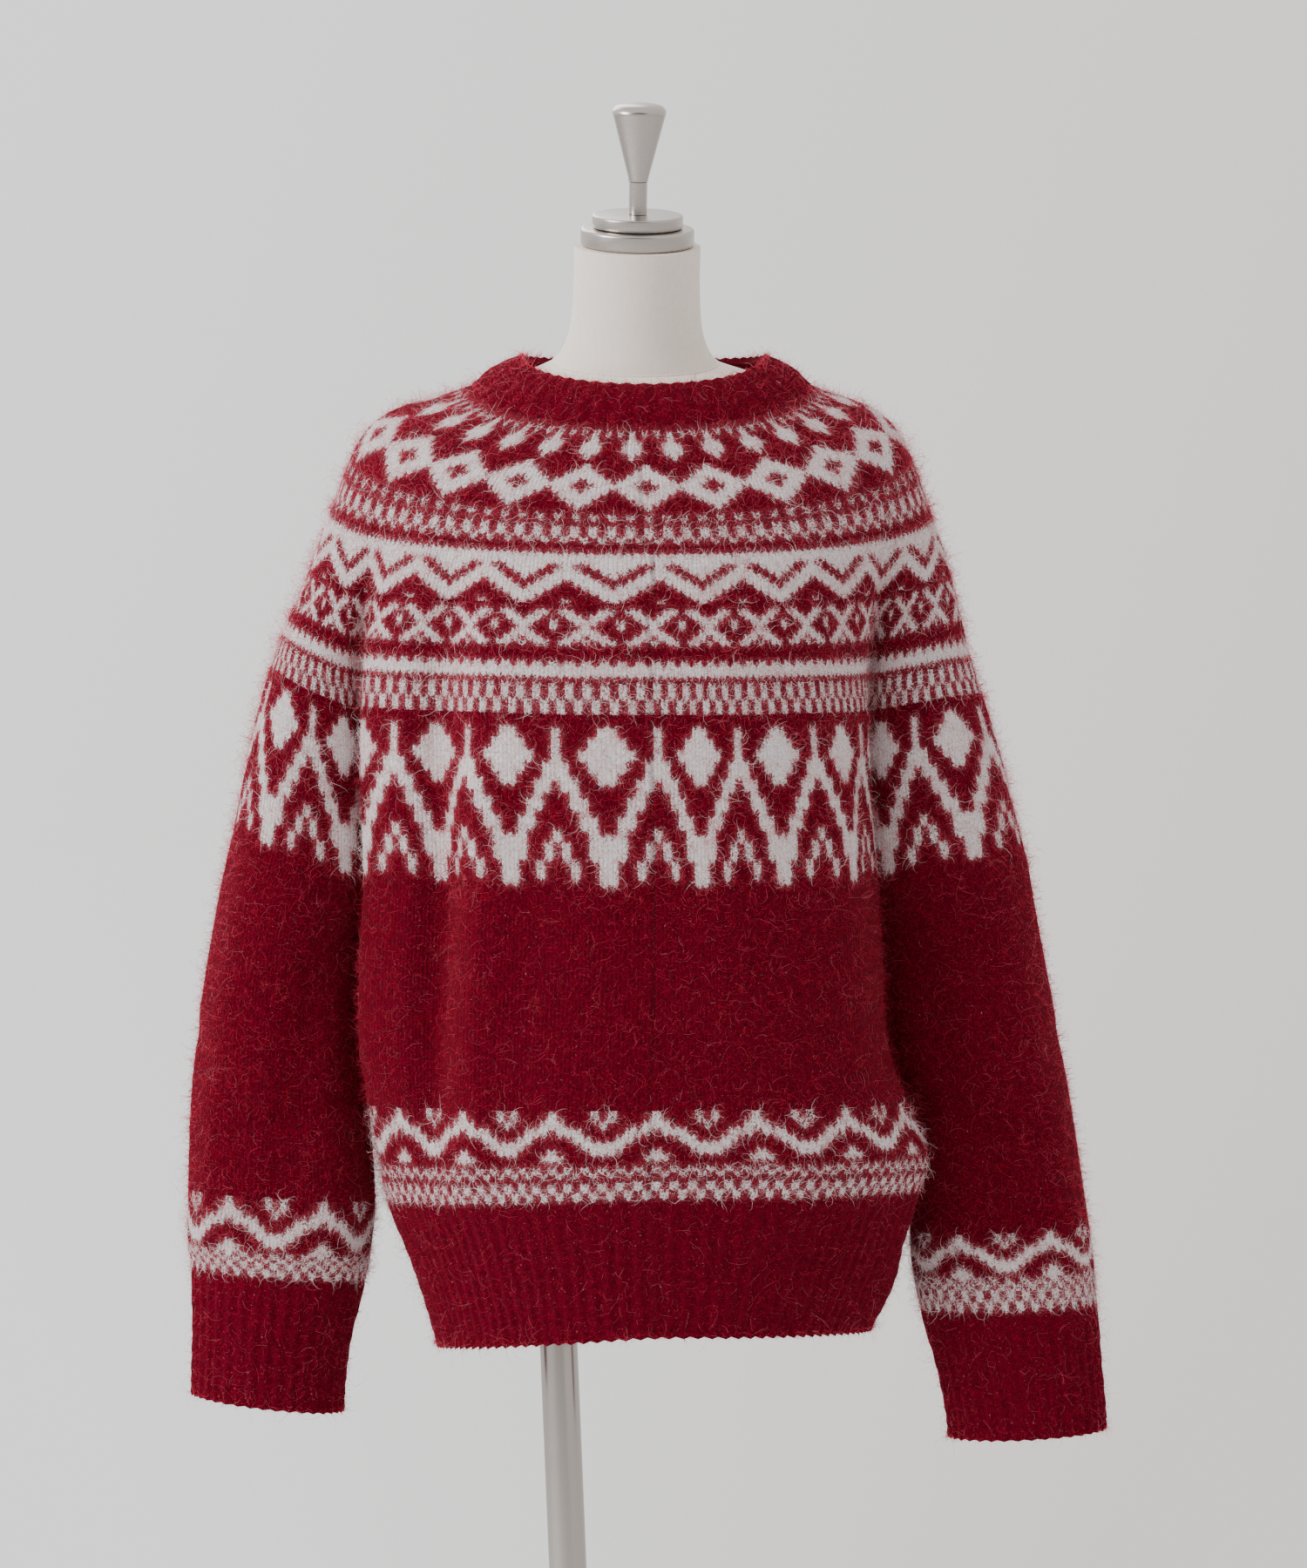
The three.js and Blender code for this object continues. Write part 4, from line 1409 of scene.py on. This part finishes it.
@dataclass(frozen=True)
class Coat:
    """How one kind of loose hair stands over one style of knitting.

    Attributes:
        share: number of hairs as a share of the piece's count.
        length: shortest and longest hair, in millimetres.
        stand: mean height over the cloth, in millimetres.
        width: thickness at the root, in millimetres.
    """

    share: float
    length: tuple[float, float]
    stand: float
    width: float


@dataclass(frozen=True)
class Hair:
    """One kind of loose hair.

    Attributes:
        label: first word of its pieces' names.
        yarn: which yarn's stitches it grows from, or None for both.
        seed: start of its random numbers on the first piece; each next piece adds one.
        steps: straight lengths in one hair.
        finish: its material.
        coats: how it stands over each style.
    """

    label: str
    yarn: Yarn | None
    seed: int
    steps: int
    finish: HairFinish
    coats: dict[Style, Coat]


HAIRS = (
    Hair("down", Yarn.GROUND, 11, 2,
         HairFinish("red_hair", rgb(0.26, 0.001, 0.016), rgb(0.96, 0.09, 0.17), 0.62),
         {Style.PATTERNED: Coat(1.0, (4, 10), 3.4, 0.26), Style.PLAIN: Coat(1.0, (3, 8), 2.8, 0.26),
          Style.RIB: Coat(1.0, (2, 6), 2.0, 0.26)}),
    Hair("strays", None, 71, 3,
         HairFinish("pink_hair", rgb(0.50, 0.05, 0.10), rgb(1.0, 0.42, 0.45)),
         {Style.PATTERNED: Coat(0.34, (8, 18), 4.4, 0.26),
          Style.PLAIN: Coat(0.10, (8, 18), 4.4, 0.20), Style.RIB: Coat(0.10, (8, 18), 4.4, 0.20)}),
    Hair("wisps", Yarn.MOTIF, 41, 3,
         HairFinish("white_hair", rgb(0.90, 0.87, 0.87), rgb(0.98, 0.90, 0.90)),
         {Style.PATTERNED: Coat(0.62, (5, 13), 2.5, 0.28),
          Style.PLAIN: Coat(0.16, (5, 13), 2.5, 0.28)}),
)


@dataclass
class Down:
    """Loose hair of one kind over one knitted piece.

    Attributes:
        knit: the piece that it grows from.
        hair: the kind of hair.
        count: how many hairs.
        seed: fixed start of its random numbers.
        curl: least and greatest bend, in radians a millimetre.
        tallest: greatest height over the cloth, as a multiple of the mean.
    """

    knit: Knit
    hair: Hair
    count: int
    seed: int
    curl: tuple[float, float] = (0.05, 0.30)
    tallest: float = 2.8

    def build(self) -> None:
        coat, steps = self.hair.coats[self.knit.style], self.hair.steps
        rng = np.random.default_rng(self.seed)
        root, out, side = self._roots(rng)
        n = len(root)
        across = np.cross(out, side)
        length = rng.uniform(*coat.length, n)
        heading = rng.uniform(0, TAU, n)
        curl = rng.choice([-1.0, 1.0], n) * rng.uniform(*self.curl, n)
        top = np.minimum(rng.exponential(coat.stand, n), self.tallest * coat.stand)
        roll = rng.uniform(0, TAU, n)[:, None]
        point, rail, height = root.copy(), [], np.zeros(n)
        for k in range(steps + 1):
            way = np.cos(heading)[:, None] * side + np.sin(heading)[:, None] * across
            if k:
                rise = top * math.sin(0.5 * math.pi * min(1.0, k / (steps - 0.5)))
                point = point + way * (length / steps)[:, None] + out * (rise - height)[:, None]
                height = rise
                heading = heading + curl * length / steps
            flat = np.cross(way, out)
            thick = coat.width / 2 * (1 - k / steps) ** 0.5
            rail.append((point, (flat * np.cos(roll) + out * np.sin(roll)) * thick))
        self._declare(self._ribbons(rail, n))

    def _roots(self, rng: np.random.Generator) -> tuple[Array, Array, Array]:
        """Picks random places on the outer face.

        Args:
            rng: source of the random numbers.

        Returns:
            (hair, 3) arrays: the places, the way out, and one way along the cloth.
        """
        points = np.vstack(self.knit.cloth.points)
        quads = np.vstack(self.knit.cloth.quads)[: self.knit.outer_quads]
        motif = np.concatenate(self.knit.cloth.motif)[: self.knit.outer_quads]
        if self.hair.yarn is not None:
            quads = quads[motif == self.hair.yarn.value]
        a, b, c, d = (points[quads[:, i]] for i in range(4))
        normal = np.cross(b - d, c - a) * (-1 if self.knit.cloth.flip else 1)
        area = np.linalg.norm(normal, axis=1)
        area = area * self._share_of_hair(len(quads))
        pick = rng.choice(len(quads), self.count, p=area / area.sum())
        u, v = rng.uniform(size=(2, self.count, 1))
        root = (a[pick] * (1 - u) + d[pick] * u) * (1 - v) + (b[pick] * (1 - u) + c[pick] * u) * v
        return root, unit(normal[pick]), unit(d[pick] - a[pick])

    def _share_of_hair(self, faces: int) -> Array:
        """How thick the hair is: more on the row at a free edge.

        Args:
            faces: how many faces it grows from.

        Returns:
            A multiple for each face.
        """
        share = np.ones(faces)
        row = 2 * self.knit.courses[0].stitches
        if self.knit.scallop > 0:
            share[:row] = EDGE_HAIR
        elif self.knit.scallop < 0:
            share[-row:] = EDGE_HAIR
        return share

    def _ribbons(self, rail: Sequence[tuple[Array, Array]], n: int) -> bpy.types.Mesh:
        """Turns the hairs' points into one mesh of ribbons.

        Args:
            rail: for each step along the hairs, their points and their half widths.
            n: how many hairs.

        Returns:
            The mesh.
        """
        last = len(rail) - 1
        pairs = [np.stack((point - half, point + half), axis=1) for point, half in rail[:-1]]
        points = np.concatenate(pairs + [rail[-1][0][:, None]], axis=1)
        base = np.arange(n)[:, None] * (2 * last + 1)
        quads = np.concatenate([base + np.array([2 * k, 2 * k + 1, 2 * k + 3, 2 * k + 2])
                                for k in range(last - 1)])
        tips = base + np.array([2 * last - 2, 2 * last - 1, 2 * last])
        return faced_mesh(f"{self.hair.label}_{self.knit.node}", points.reshape(-1, 3), quads, tips)

    def _declare(self, mesh: bpy.types.Mesh) -> None:
        """Puts the hairs into the scene, on their body.

        Args:
            mesh: the hairs.
        """
        obj = link(mesh.name, mesh)
        obj.data.materials.append(self.hair.finish.make())
        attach(obj, "root")
        log.info("%s: %d hairs", obj.name, self.count)


# --------------------------------------------------------------- form and stand
@dataclass(frozen=True)
class Round:
    """A turned part with rounded edges, in millimetres.

    Attributes:
        radius: its outer radius.
        start: where it starts along its axis.
        height: its length along the axis.
        soft: radius of its edges.
    """

    radius: float
    start: float
    height: float
    soft: float

    def profile(self) -> list[tuple[float, float]]:
        """Its outline from the foot up.

        Returns:
            (radius, height) points.
        """
        bend = [math.radians(angle) for angle in range(0, 91, 15)]
        rim, top, soft = self.radius - self.soft, self.height - self.soft, self.soft
        low = [(rim + soft * math.sin(a), soft - soft * math.cos(a)) for a in bend]
        high = [(rim + soft * math.cos(a), top + soft * math.sin(a)) for a in bend]
        return low + high


@dataclass
class Form:
    """The linen-covered torso and neck, with the metal cap, stem and finial on its axis.

    Attributes:
        foot: where the neck's axis starts, x, y and z.
        tilt: degrees that the axis leans forward.
        lean: degrees that it leans to +X.
        seam: place on the axis, half width and half depth of the neck's seam.
        neck: such rings from the seam up.
        bead: radius of the rolled seam.
        bead_out: how far the middle of the roll is from the seam's ring, up and out.
        cap: the metal cap.
        disc: the disc on the cap.
        stem: the stem on the disc.
        finial_start: where the finial starts on the axis.
        finial: the finial's outline, radius and height.
        sides: how many sides a round part has.
        stem_sides: how many sides the stem has.
    """

    foot: tuple[float, float, float] = (21.0, 2.5, 1385.0)
    tilt: float = 17.0
    lean: float = 1.0
    seam: tuple[float, float, float] = (0.0, 55.0, 50.5)
    neck: tuple[tuple[float, float, float], ...] = (
        (0.3, 55, 50.5), (6, 50.5, 48.5), (14, 46.5, 46), (26, 43.5, 44.5), (52, 41.8, 43.5),
        (78, 41.8, 43.5))
    bead: float = 0.7
    bead_out: tuple[float, float] = (0.2, 0.1)
    cap: Round = Round(37.5, 78.3, 11.5, 2.0)
    disc: Round = Round(30.0, 90.1, 8.5, 1.5)
    stem: Round = Round(6.0, 98.9, 21.0, 0.0)
    finial_start: float = 120.2
    finial: tuple[tuple[float, float], ...] = (
        (0, 0), (6.2, 0), (6.6, 0.5), (6.6, 2), (17.1, 42.7), (17.6, 43.9), (17.6, 46.1),
        (17.0, 47.3), (15.1, 49.2), (11.5, 50.2), (6, 50.8), (0, 51))
    sides: int = 112
    stem_sides: int = 48

    def on_axis(self, points: Array) -> Array:
        """Turns points from the neck's own axis into the shared frame.

        Args:
            points: points in millimetres, Z along the axis.

        Returns:
            The same points in the shared frame.
        """
        a, b = math.radians(self.tilt), math.radians(self.lean)
        x, y, z = points[..., 0], points[..., 1], points[..., 2]
        y, z = y * math.cos(a) - z * math.sin(a), y * math.sin(a) + z * math.cos(a)
        x, z = x * math.cos(b) + z * math.sin(b), -x * math.sin(b) + z * math.cos(b)
        return np.stack((x, y, z), axis=-1) + np.array(self.foot)

    def neck_ring(self, row: Sequence[float], turn: Array) -> Array:
        """A ring across the neck's axis.

        Args:
            row: place on the axis, half width and half depth.
            turn: angles round the axis.

        Returns:
            (angle, 3) points in millimetres.
        """
        place, wide, deep = row
        ring = np.stack((wide * np.sin(turn), -deep * np.cos(turn), np.full_like(turn, place)), -1)
        return self.on_axis(ring)

    def build(self) -> None:
        """Makes every piece of the form."""
        linen, steel = LinenFinish().make(), SteelFinish().make()
        turn = np.linspace(0, TAU, self.sides, endpoint=False)
        self._torso(turn, linen)
        rows = np.array(self.neck)
        fine = along(rows[:, 0], rows, np.linspace(rows[0, 0], rows[-1, 0], NECK_RINGS))
        rings = np.stack([self.neck_ring(row, turn) for row in fine])[::-1]
        stand_in("neck_cover", rings, "form_neck", linen)
        for name, node, part in (("neck_cap", "cap_lower", self.cap),
                                 ("neck_disc", "cap_upper", self.disc)):
            rings = self.on_axis(turned(part.profile(), part.start, self.sides))
            stand_in(name, rings, node, steel)
        radius, height = self.stem.radius, self.stem.height
        profile = ((0, 0), (radius, 0), (radius, height), (0, height))
        rings = self.on_axis(turned(profile, self.stem.start, self.stem_sides))
        stand_in("finial_stem", rings, "stem", steel)
        rings = self.on_axis(turned(self.finial, self.finial_start, self.sides))
        stand_in("cone_finial", rings, "finial", steel)
        self._seam_line(turn, linen)

    def _torso(self, turn: Array, linen: bpy.types.Material) -> None:
        """Makes the covered torso, from the neck's seam down.

        Args:
            turn: angles round the neck's axis.
            linen: its material.
        """
        first = self.neck_ring(self.seam, turn)
        shell = plain_lines(TORSO_ROWS, self.sides)
        points = np.concatenate((first[:, None], shell.points), axis=1)
        levels = np.linspace(0, len(TORSO_ROWS), TORSO_RINGS)
        rings = along(np.arange(len(TORSO_ROWS) + 1), np.swapaxes(points, 0, 1), levels)
        stand_in("torso_cover", rings, "form_torso", linen)

    def _seam_line(self, turn: Array, linen: bpy.types.Material) -> None:
        """Makes the rolled seam where the neck joins the torso.

        Args:
            turn: angles round the neck's axis.
            linen: its material.
        """
        (place, wide, deep), (up, out), bead = self.seam, self.bead_out, self.bead
        rings = [self.neck_ring((place + up + bead * math.sin(angle),
                                 wide + out + bead * math.cos(angle),
                                 deep + out + bead * math.cos(angle)), turn)
                 for angle in np.linspace(0, TAU, 8, endpoint=False)]
        grid = np.stack(rings)
        n, m = grid.shape[:2]
        faces = [(j * m + i, ((j + 1) % n) * m + i, ((j + 1) % n) * m + (i + 1) % m,
                  j * m + (i + 1) % m) for j in range(n) for i in range(m)]
        obj = plain_mesh("neck_seam", grid.reshape(-1, 3) * MM, faces)
        obj.data.materials.append(linen)
        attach(obj, "root")
        log.info("%s: %d faces", obj.name, len(obj.data.polygons))


def stand_in(name: str, rings: Array, node: str, material: bpy.types.Material) -> None:
    """Makes a closed solid through rings in the place of a node.

    Args:
        name: the piece's name.
        rings: (ring, point, 3) points in millimetres, capped at both ends.
        node: the node that it replaces.
        material: its material.
    """
    n, m = rings.shape[:2]
    faces = [(j * m + i, (j + 1) * m + i, (j + 1) * m + (i + 1) % m, j * m + (i + 1) % m)
             for j in range(n - 1) for i in range(m)]
    faces += [tuple(range(m)), tuple(reversed(range((n - 1) * m, n * m)))]
    obj = plain_mesh(name, rings.reshape(-1, 3) * MM, faces)
    obj.data.materials.append(material)
    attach(obj, "root")
    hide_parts(node)
    log.info("%s: %d faces", name, len(obj.data.polygons))


def turned(profile: Sequence[tuple[float, float]], start: float, sides: int) -> Array:
    """Rings of a turned outline, top first.

    Args:
        profile: radius and height of each point, foot first, in millimetres.
        start: where the foot is along the axis.
        sides: how many points go round.

    Returns:
        (ring, point, 3) points in millimetres.
    """
    turn = np.linspace(0, TAU, sides, endpoint=False)
    rings = [np.stack((max(r, CENTRE) * np.sin(turn), -max(r, CENTRE) * np.cos(turn),
                       np.full_like(turn, start + z)), -1) for r, z in reversed(profile)]
    return np.stack(rings)


@dataclass
class Stand:
    """The pole, its socket and the round base.

    Attributes:
        lean: degrees that the pole leans to -X.
        pole: the pole, along its own axis.
        socket: the socket, along the same axis.
        inner: radius of the inner edge of the socket's foot and of its top.
        base: the base.
        sides: how many sides the base has.
    """

    lean: float = 2.36
    pole: Round = Round(12.5, 14.9, 885.1, 0.8)
    socket: Round = Round(24.0, 14.3, 22.0, 3.0)
    inner: tuple[float, float] = (15.0, 13.6)
    base: Round = Round(165.0, 0.0, 14.0, 4.0)
    sides: int = 128

    def leaned(self, points: Array) -> Array:
        """Turns points onto the pole's axis.

        Args:
            points: points in millimetres, Z along the axis.

        Returns:
            The same points in the shared frame.
        """
        a = math.radians(self.lean)
        x, z = points[..., 0], points[..., 2]
        out = points.copy()
        out[..., 0] = x * math.cos(a) - z * math.sin(a)
        out[..., 2] = x * math.sin(a) + z * math.cos(a)
        return out

    def build(self) -> None:
        """Makes the three pieces."""
        steel = SteelFinish("satin_steel_pole", rough=0.24, grain=(900.0, 900.0, 6.0)).make()
        plate = SteelFinish("satin_steel_base", rough=0.42, grain=(60.0, 60.0, 60.0)).make()
        rod = turned(self.pole.profile(), self.pole.start, self.sides // 2)
        stand_in("stand_pole", self.leaned(rod), "pole", steel)
        foot, top = self.inner
        outline = [(foot, 0)] + self.socket.profile() + [(top, self.socket.height)]
        ring = turned(outline, self.socket.start, 3 * self.sides // 4)
        stand_in("stand_socket", ring, "pole_socket", steel)
        disc = turned(self.base.profile(), self.base.start, self.sides)
        stand_in("stand_base", disc, "base", plate)


# --------------------------------------------------------------- studio
@dataclass(frozen=True)
class Lamp:
    """A square soft lamp.

    Attributes:
        name: the lamp's name.
        place: where it hangs, in metres.
        aim: the point that it faces.
        size: its side, in metres.
        power: its power in watts.
        colour: its colour.
    """

    name: str
    place: tuple[float, float, float]
    aim: tuple[float, float, float]
    size: float
    power: float
    colour: tuple[float, float, float]

    def hang(self) -> None:
        """Puts the lamp into the scene."""
        lamp = bpy.data.lights.new(self.name, "AREA")
        lamp.shape, lamp.size = "SQUARE", self.size
        lamp.energy, lamp.color = self.power, self.colour
        obj = bpy.data.objects.new(self.name, lamp)
        obj.location = self.place
        way = Vector(self.aim) - Vector(self.place)
        obj.rotation_euler = way.to_track_quat("-Z", "Y").to_euler()
        bpy.context.scene.collection.objects.link(obj)


@dataclass
class Studio:
    """Pale floor, soft light and the camera.

    Attributes:
        bright: light from the room's left side.
        dim: light from its right side.
        doorway: light from the dark opening that the front faces.
        opening: how far forward the opening starts, and how soft its edge is.
        wall: colour of the room as it is seen, on the left.
        shade: the same on the right, as a share of the left; painted shade, darker and warmer.
        slope: how fast the painted shade changes across and up; it deepens to the right and down.
        lamps: the lamps.
        eye: the camera's place, in metres.
        tall: height of the framed field at the object, in metres.
        sensor: height of the camera's sensor, in millimetres.
        rings: radii of the floor's rings, in metres.
        sunk: how far the floor lies under the base, in metres.
        melt: where the floor starts to melt into the room, and over what width.
    """

    bright: tuple[float, float, float] = (1.26, 1.26, 1.26)
    dim: tuple[float, float, float] = (1.02, 0.98, 0.95)
    doorway: tuple[float, float, float] = (0.16, 0.14, 0.13)
    opening: tuple[float, float] = (0.8, 0.1)
    wall: float = 1.36
    shade: tuple[float, float, float] = (0.80, 0.76, 0.725)
    slope: tuple[float, float] = (2.2, 0.8)
    lamps: tuple[Lamp, ...] = (
        Lamp("key_left", (-2.9, -1.5, 2.3), (0.0, 0.0, 1.15), 1.6, 92.0, (1.0, 0.99, 0.98)),
        Lamp("top_back", (-0.8, 1.8, 2.9), (0.0, 0.0, 1.1), 1.6, 25.0, (1.0, 1.0, 1.0)))
    eye: tuple[float, float, float] = (0.033, -2.5, 1.104)
    tall: float = 1.044
    sensor: float = 36.0
    rings: tuple[float, ...] = (0.6, 2.0, 60.0)
    sunk: float = 0.0005
    melt: tuple[float, float] = (0.7, 1.7)

    def build(self) -> None:
        """Sets the room, the floor, the lamps and the camera."""
        self._world()
        self._floor()
        for lamp in self.lamps:
            lamp.hang()
        self._camera()
        log.info("studio: room, floor, %d lamps and camera", len(self.lamps))

    def _world(self) -> None:
        """Lights the room from all sides, a little more from the left."""
        world = bpy.data.worlds.new("room")
        world.use_nodes = True
        bpy.context.scene.world = world
        n = Nodes(world.node_tree)
        way = n.out(n.add("ShaderNodeTexCoord"), "Generated")
        axes = n.add("ShaderNodeSeparateXYZ", None, Vector=way)
        side = n.clamp(n.out(axes, "X") * 0.5 + 0.5)
        soft = n.blend(side, rgb(*self.bright), rgb(*self.dim))
        start, edge = self.opening
        dark = n.clamp(-start / edge - n.out(axes, "Y") * (1 / edge))
        soft = n.blend(dark, soft, rgb(*self.doorway))
        seen = n.out(n.add("ShaderNodeLightPath"), "Is Camera Ray")
        # camera rays see the room's colour with its painted shade; other rays get the soft light
        colour = n.blend(seen, soft, self._shade(n, way))
        back = n.add("ShaderNodeBackground", None, Color=colour, Strength=1.0)
        out = n.add("ShaderNodeOutputWorld")
        n.tree.links.new(back.outputs[0], out.inputs["Surface"])

    def _shade(self, n: Nodes, way: Wire) -> Wire:
        """The room's colour as it is seen, with painted shade deepening to the right and down.

        Args:
            n: the nodes to add to.
            way: direction from the middle.

        Returns:
            The colour.
        """
        axes = n.add("ShaderNodeSeparateXYZ", None, Vector=way)
        across, up = self.slope
        # painted shade: the seen room darkens and warms towards the right and lower down
        share = n.clamp(n.out(axes, "X") * across - n.out(axes, "Z") * up + 0.5)
        left = rgb(self.wall, self.wall, self.wall)
        right = rgb(*(self.wall * part for part in self.shade))
        return n.blend(share, left, right)

    def _floor(self) -> None:
        """Lays a wide disc that melts into the room away from the object."""
        turn = np.linspace(0, TAU, 96, endpoint=False)
        ring = np.stack((np.sin(turn), np.cos(turn), np.zeros_like(turn)), -1)
        points = np.concatenate([ring * radius for radius in self.rings])
        points[:, 2] = -self.sunk
        m = len(turn)
        faces = [(k * m + i, k * m + (i + 1) % m, (k + 1) * m + (i + 1) % m, (k + 1) * m + i)
                 for k in range(len(self.rings) - 1) for i in range(m)]
        floor = plain_mesh("floor", points, faces + [tuple(range(m))])
        material, n = new_material("pale_floor")
        place = n.out(n.add("ShaderNodeTexCoord"), "Object")
        far = n.out(n.add("ShaderNodeVectorMath", {"operation": "LENGTH"}, Input_0=place), 1)
        way = n.out(n.add("ShaderNodeVectorMath", {"operation": "NORMALIZE"}, Input_0=place))
        # away from the object the camera sees the floor glow, though it is no lamp, with the room's
        # colour and its painted shade
        glow = n.add("ShaderNodeEmission", None, Color=self._shade(n, way), Strength=1.0)
        matt = n.add("ShaderNodeBsdfDiffuse", None, Color=rgb(0.72, 0.715, 0.71))
        seen = n.out(n.add("ShaderNodeLightPath"), "Is Camera Ray")
        start, width = self.melt
        share = n.clamp((far - start) / width) * seen
        n.finish(n.add("ShaderNodeMixShader", None, Input_0=share, Input_1=n.out(matt),
                       Input_2=n.out(glow)))
        floor.data.materials.append(material)

    def _camera(self) -> None:
        """Sets the camera level, facing the front."""
        camera = bpy.data.cameras.new("camera")
        camera.sensor_fit = "VERTICAL"
        camera.sensor_height = self.sensor
        camera.lens = self.sensor * -self.eye[1] / self.tall
        camera.clip_end = 200.0
        obj = bpy.data.objects.new("camera", camera)
        obj.location = self.eye
        obj.rotation_euler = (math.pi / 2, 0, 0)
        bpy.context.scene.collection.objects.link(obj)
        bpy.context.scene.camera = obj


# --------------------------------------------------------------- the sweater
HAIR_COUNTS = {"neckband_rib": 4500, "yoke_knit": 40000, "body_knit": 33000, "hem_rib_knit": 10000,
               "sleeve_left_knit": 17000, "sleeve_right_knit": 17000, "cuff_left_rib": 3500,
               "cuff_right_rib": 3500}


@dataclass
class Sweater:
    """The whole garment, piece by piece.

    Attributes:
        row: height of one row of stitches, in millimetres.
        hair_share: share of the loose hair that is grown.
    """

    row: float = 3.88
    hair_share: float = 1.0

    def neckband(self) -> Knit:
        """Ribbed band round the neck.

        Returns:
            The piece, ready to build.
        """
        courses = [Course((0, len(BAND_ROWS) - 1), NECK_ROWS, NECK_ROUND)]
        return Knit("neckband_rib", "neckband", plain_lines(BAND_ROWS, NECK_ROUND), courses,
                    MohairFinish("red_rib_neck", rib=True), (0.55, 0.036), ["yoke_knit"],
                    Style.RIB, scallop=0.3, wall=5.0)

    def yoke(self) -> Knit:
        """Patterned round yoke, decreased in steps towards the neck.

        Returns:
            The piece, ready to build.
        """
        courses = [
            Course((0, 0.108), 7, 168, CROSSES, 0, 1.0, -2.0),
            Course((0.108, 0.296), 16, 168, LOZENGES, 0, 1.0),
            Course((0.296, 0.424), 11, 230, SMALL_ZIGZAG, 0, 0.35, 1.0),
            Course((0.424, 0.662), 21, 304, LATTICE_AND_TEETH),
            Course((0.662, 1), 30, 286, DIAMONDS),
        ]
        return Knit("yoke_knit", "yoke", yoke_lines(), courses, MohairFinish("patterned_yoke"),
                    (1.51, 0.36), ["torso_cover"], Style.PATTERNED, "patterned_knit", area=0.40)

    def banded(self, heights: Sequence[float], rib: int, band: Sequence[str],
               stitches: int) -> list[Course]:
        """Plain rows with a patterned band under them, down to a rib.

        Args:
            heights: height of each ring of the piece, top first, in millimetres.
            rib: the ring where the rib starts.
            band: the band's chart.
            stitches: stitches once round.

        Returns:
            The plain course and the patterned one.
        """
        length = heights[0] - heights[rib]
        rows = round(length / self.row)
        plain = rows - len(band)
        split = heights[0] - length * plain / rows
        level = float(np.interp(-split, [-z for z in heights], range(len(heights))))
        return [Course((0, level), plain, stitches),
                Course((level, rib), len(band), stitches, tuple(band))]

    def body(self) -> Knit:
        """Plain body with a patterned band over the rib.

        Returns:
            The piece, ready to build.
        """
        courses = self.banded([row.z for row in BODY_ROWS], HEM_LEVEL, BODY_BAND, BODY_ROUND)
        return Knit("body_knit", "body", body_lines(), courses, MohairFinish("red_body"),
                    (1.05, 0.20), ["yoke_knit"])

    def hem(self) -> Knit:
        """Ribbed hem.

        Returns:
            The piece, ready to build.
        """
        courses = [Course((HEM_LEVEL, len(BODY_ROWS) - 1), HEM_ROWS, BODY_ROUND)]
        return Knit("hem_rib_knit", "hem_rib", body_lines(), courses,
                    MohairFinish("red_rib_hem", rib=True), (0.88, 0.10), ["body_knit"], Style.RIB,
                    scallop=-0.6)

    def sleeve(self, side: int) -> Knit:
        """Plain sleeve with a patterned band over the cuff.

        Args:
            side: +1 for the wearer's left, -1 for the right.

        Returns:
            The piece, ready to build.
        """
        rings = SLEEVE_PLUS if side > 0 else SLEEVE_MINUS
        heights = [YOKE_ROWS[-1].z + ARMHOLE_LIFT] + [ring[0] for ring in rings]
        label = "left" if side > 0 else "right"
        return Knit(f"sleeve_{label}_knit", f"sleeve_{label}", sleeve_lines(side),
                    self.banded(heights, CUFF_LEVEL, ARM_BAND, ARM_ROUND),
                    MohairFinish(f"red_sleeve_{label}"), (0.335, 0.29), ["yoke_knit"])

    def cuff(self, side: int) -> Knit:
        """Ribbed cuff.

        Args:
            side: +1 for the wearer's left, -1 for the right.

        Returns:
            The piece, ready to build.
        """
        label = "left" if side > 0 else "right"
        return Knit(f"cuff_{label}_rib", f"cuff_{label}", sleeve_lines(side),
                    [Course((CUFF_LEVEL, len(SLEEVE_PLUS)), CUFF_ROWS, ARM_ROUND)],
                    MohairFinish(f"red_rib_{label}", rib=True), (0.29, 0.085),
                    [f"sleeve_{label}_knit"], Style.RIB, scallop=-0.6)

    def build(self) -> None:
        """Makes all pieces and the loose hair over them."""
        pieces = [self.neckband(), self.yoke(), self.body(), self.hem()]
        for side in (1, -1):
            pieces += [self.sleeve(side), self.cuff(side)]
        for piece in pieces:
            piece.build()
        for number, piece in enumerate(pieces):
            count = int(HAIR_COUNTS[piece.name] * self.hair_share)
            charted = any(course.chart for course in piece.courses)
            for hair in HAIRS:
                if hair.yarn is Yarn.MOTIF and not charted:
                    continue
                share = hair.coats[piece.style].share
                Down(piece, hair, int(count * share), hair.seed + number).build()


def main() -> None:
    """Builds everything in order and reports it."""
    Sweater(hair_share=1.0).build()
    Form().build()
    Stand().build()
    Studio().build()
    faces = {obj.name: sum(len(p.vertices) - 2 for p in obj.data.polygons)
             for obj in bpy.data.objects if obj.type == "MESH" and obj.visible_get()}
    log.info("triangles %s, in all %d", faces, sum(faces.values()))
    log.info("sizes written")


if __name__ == "__main__":
    main()
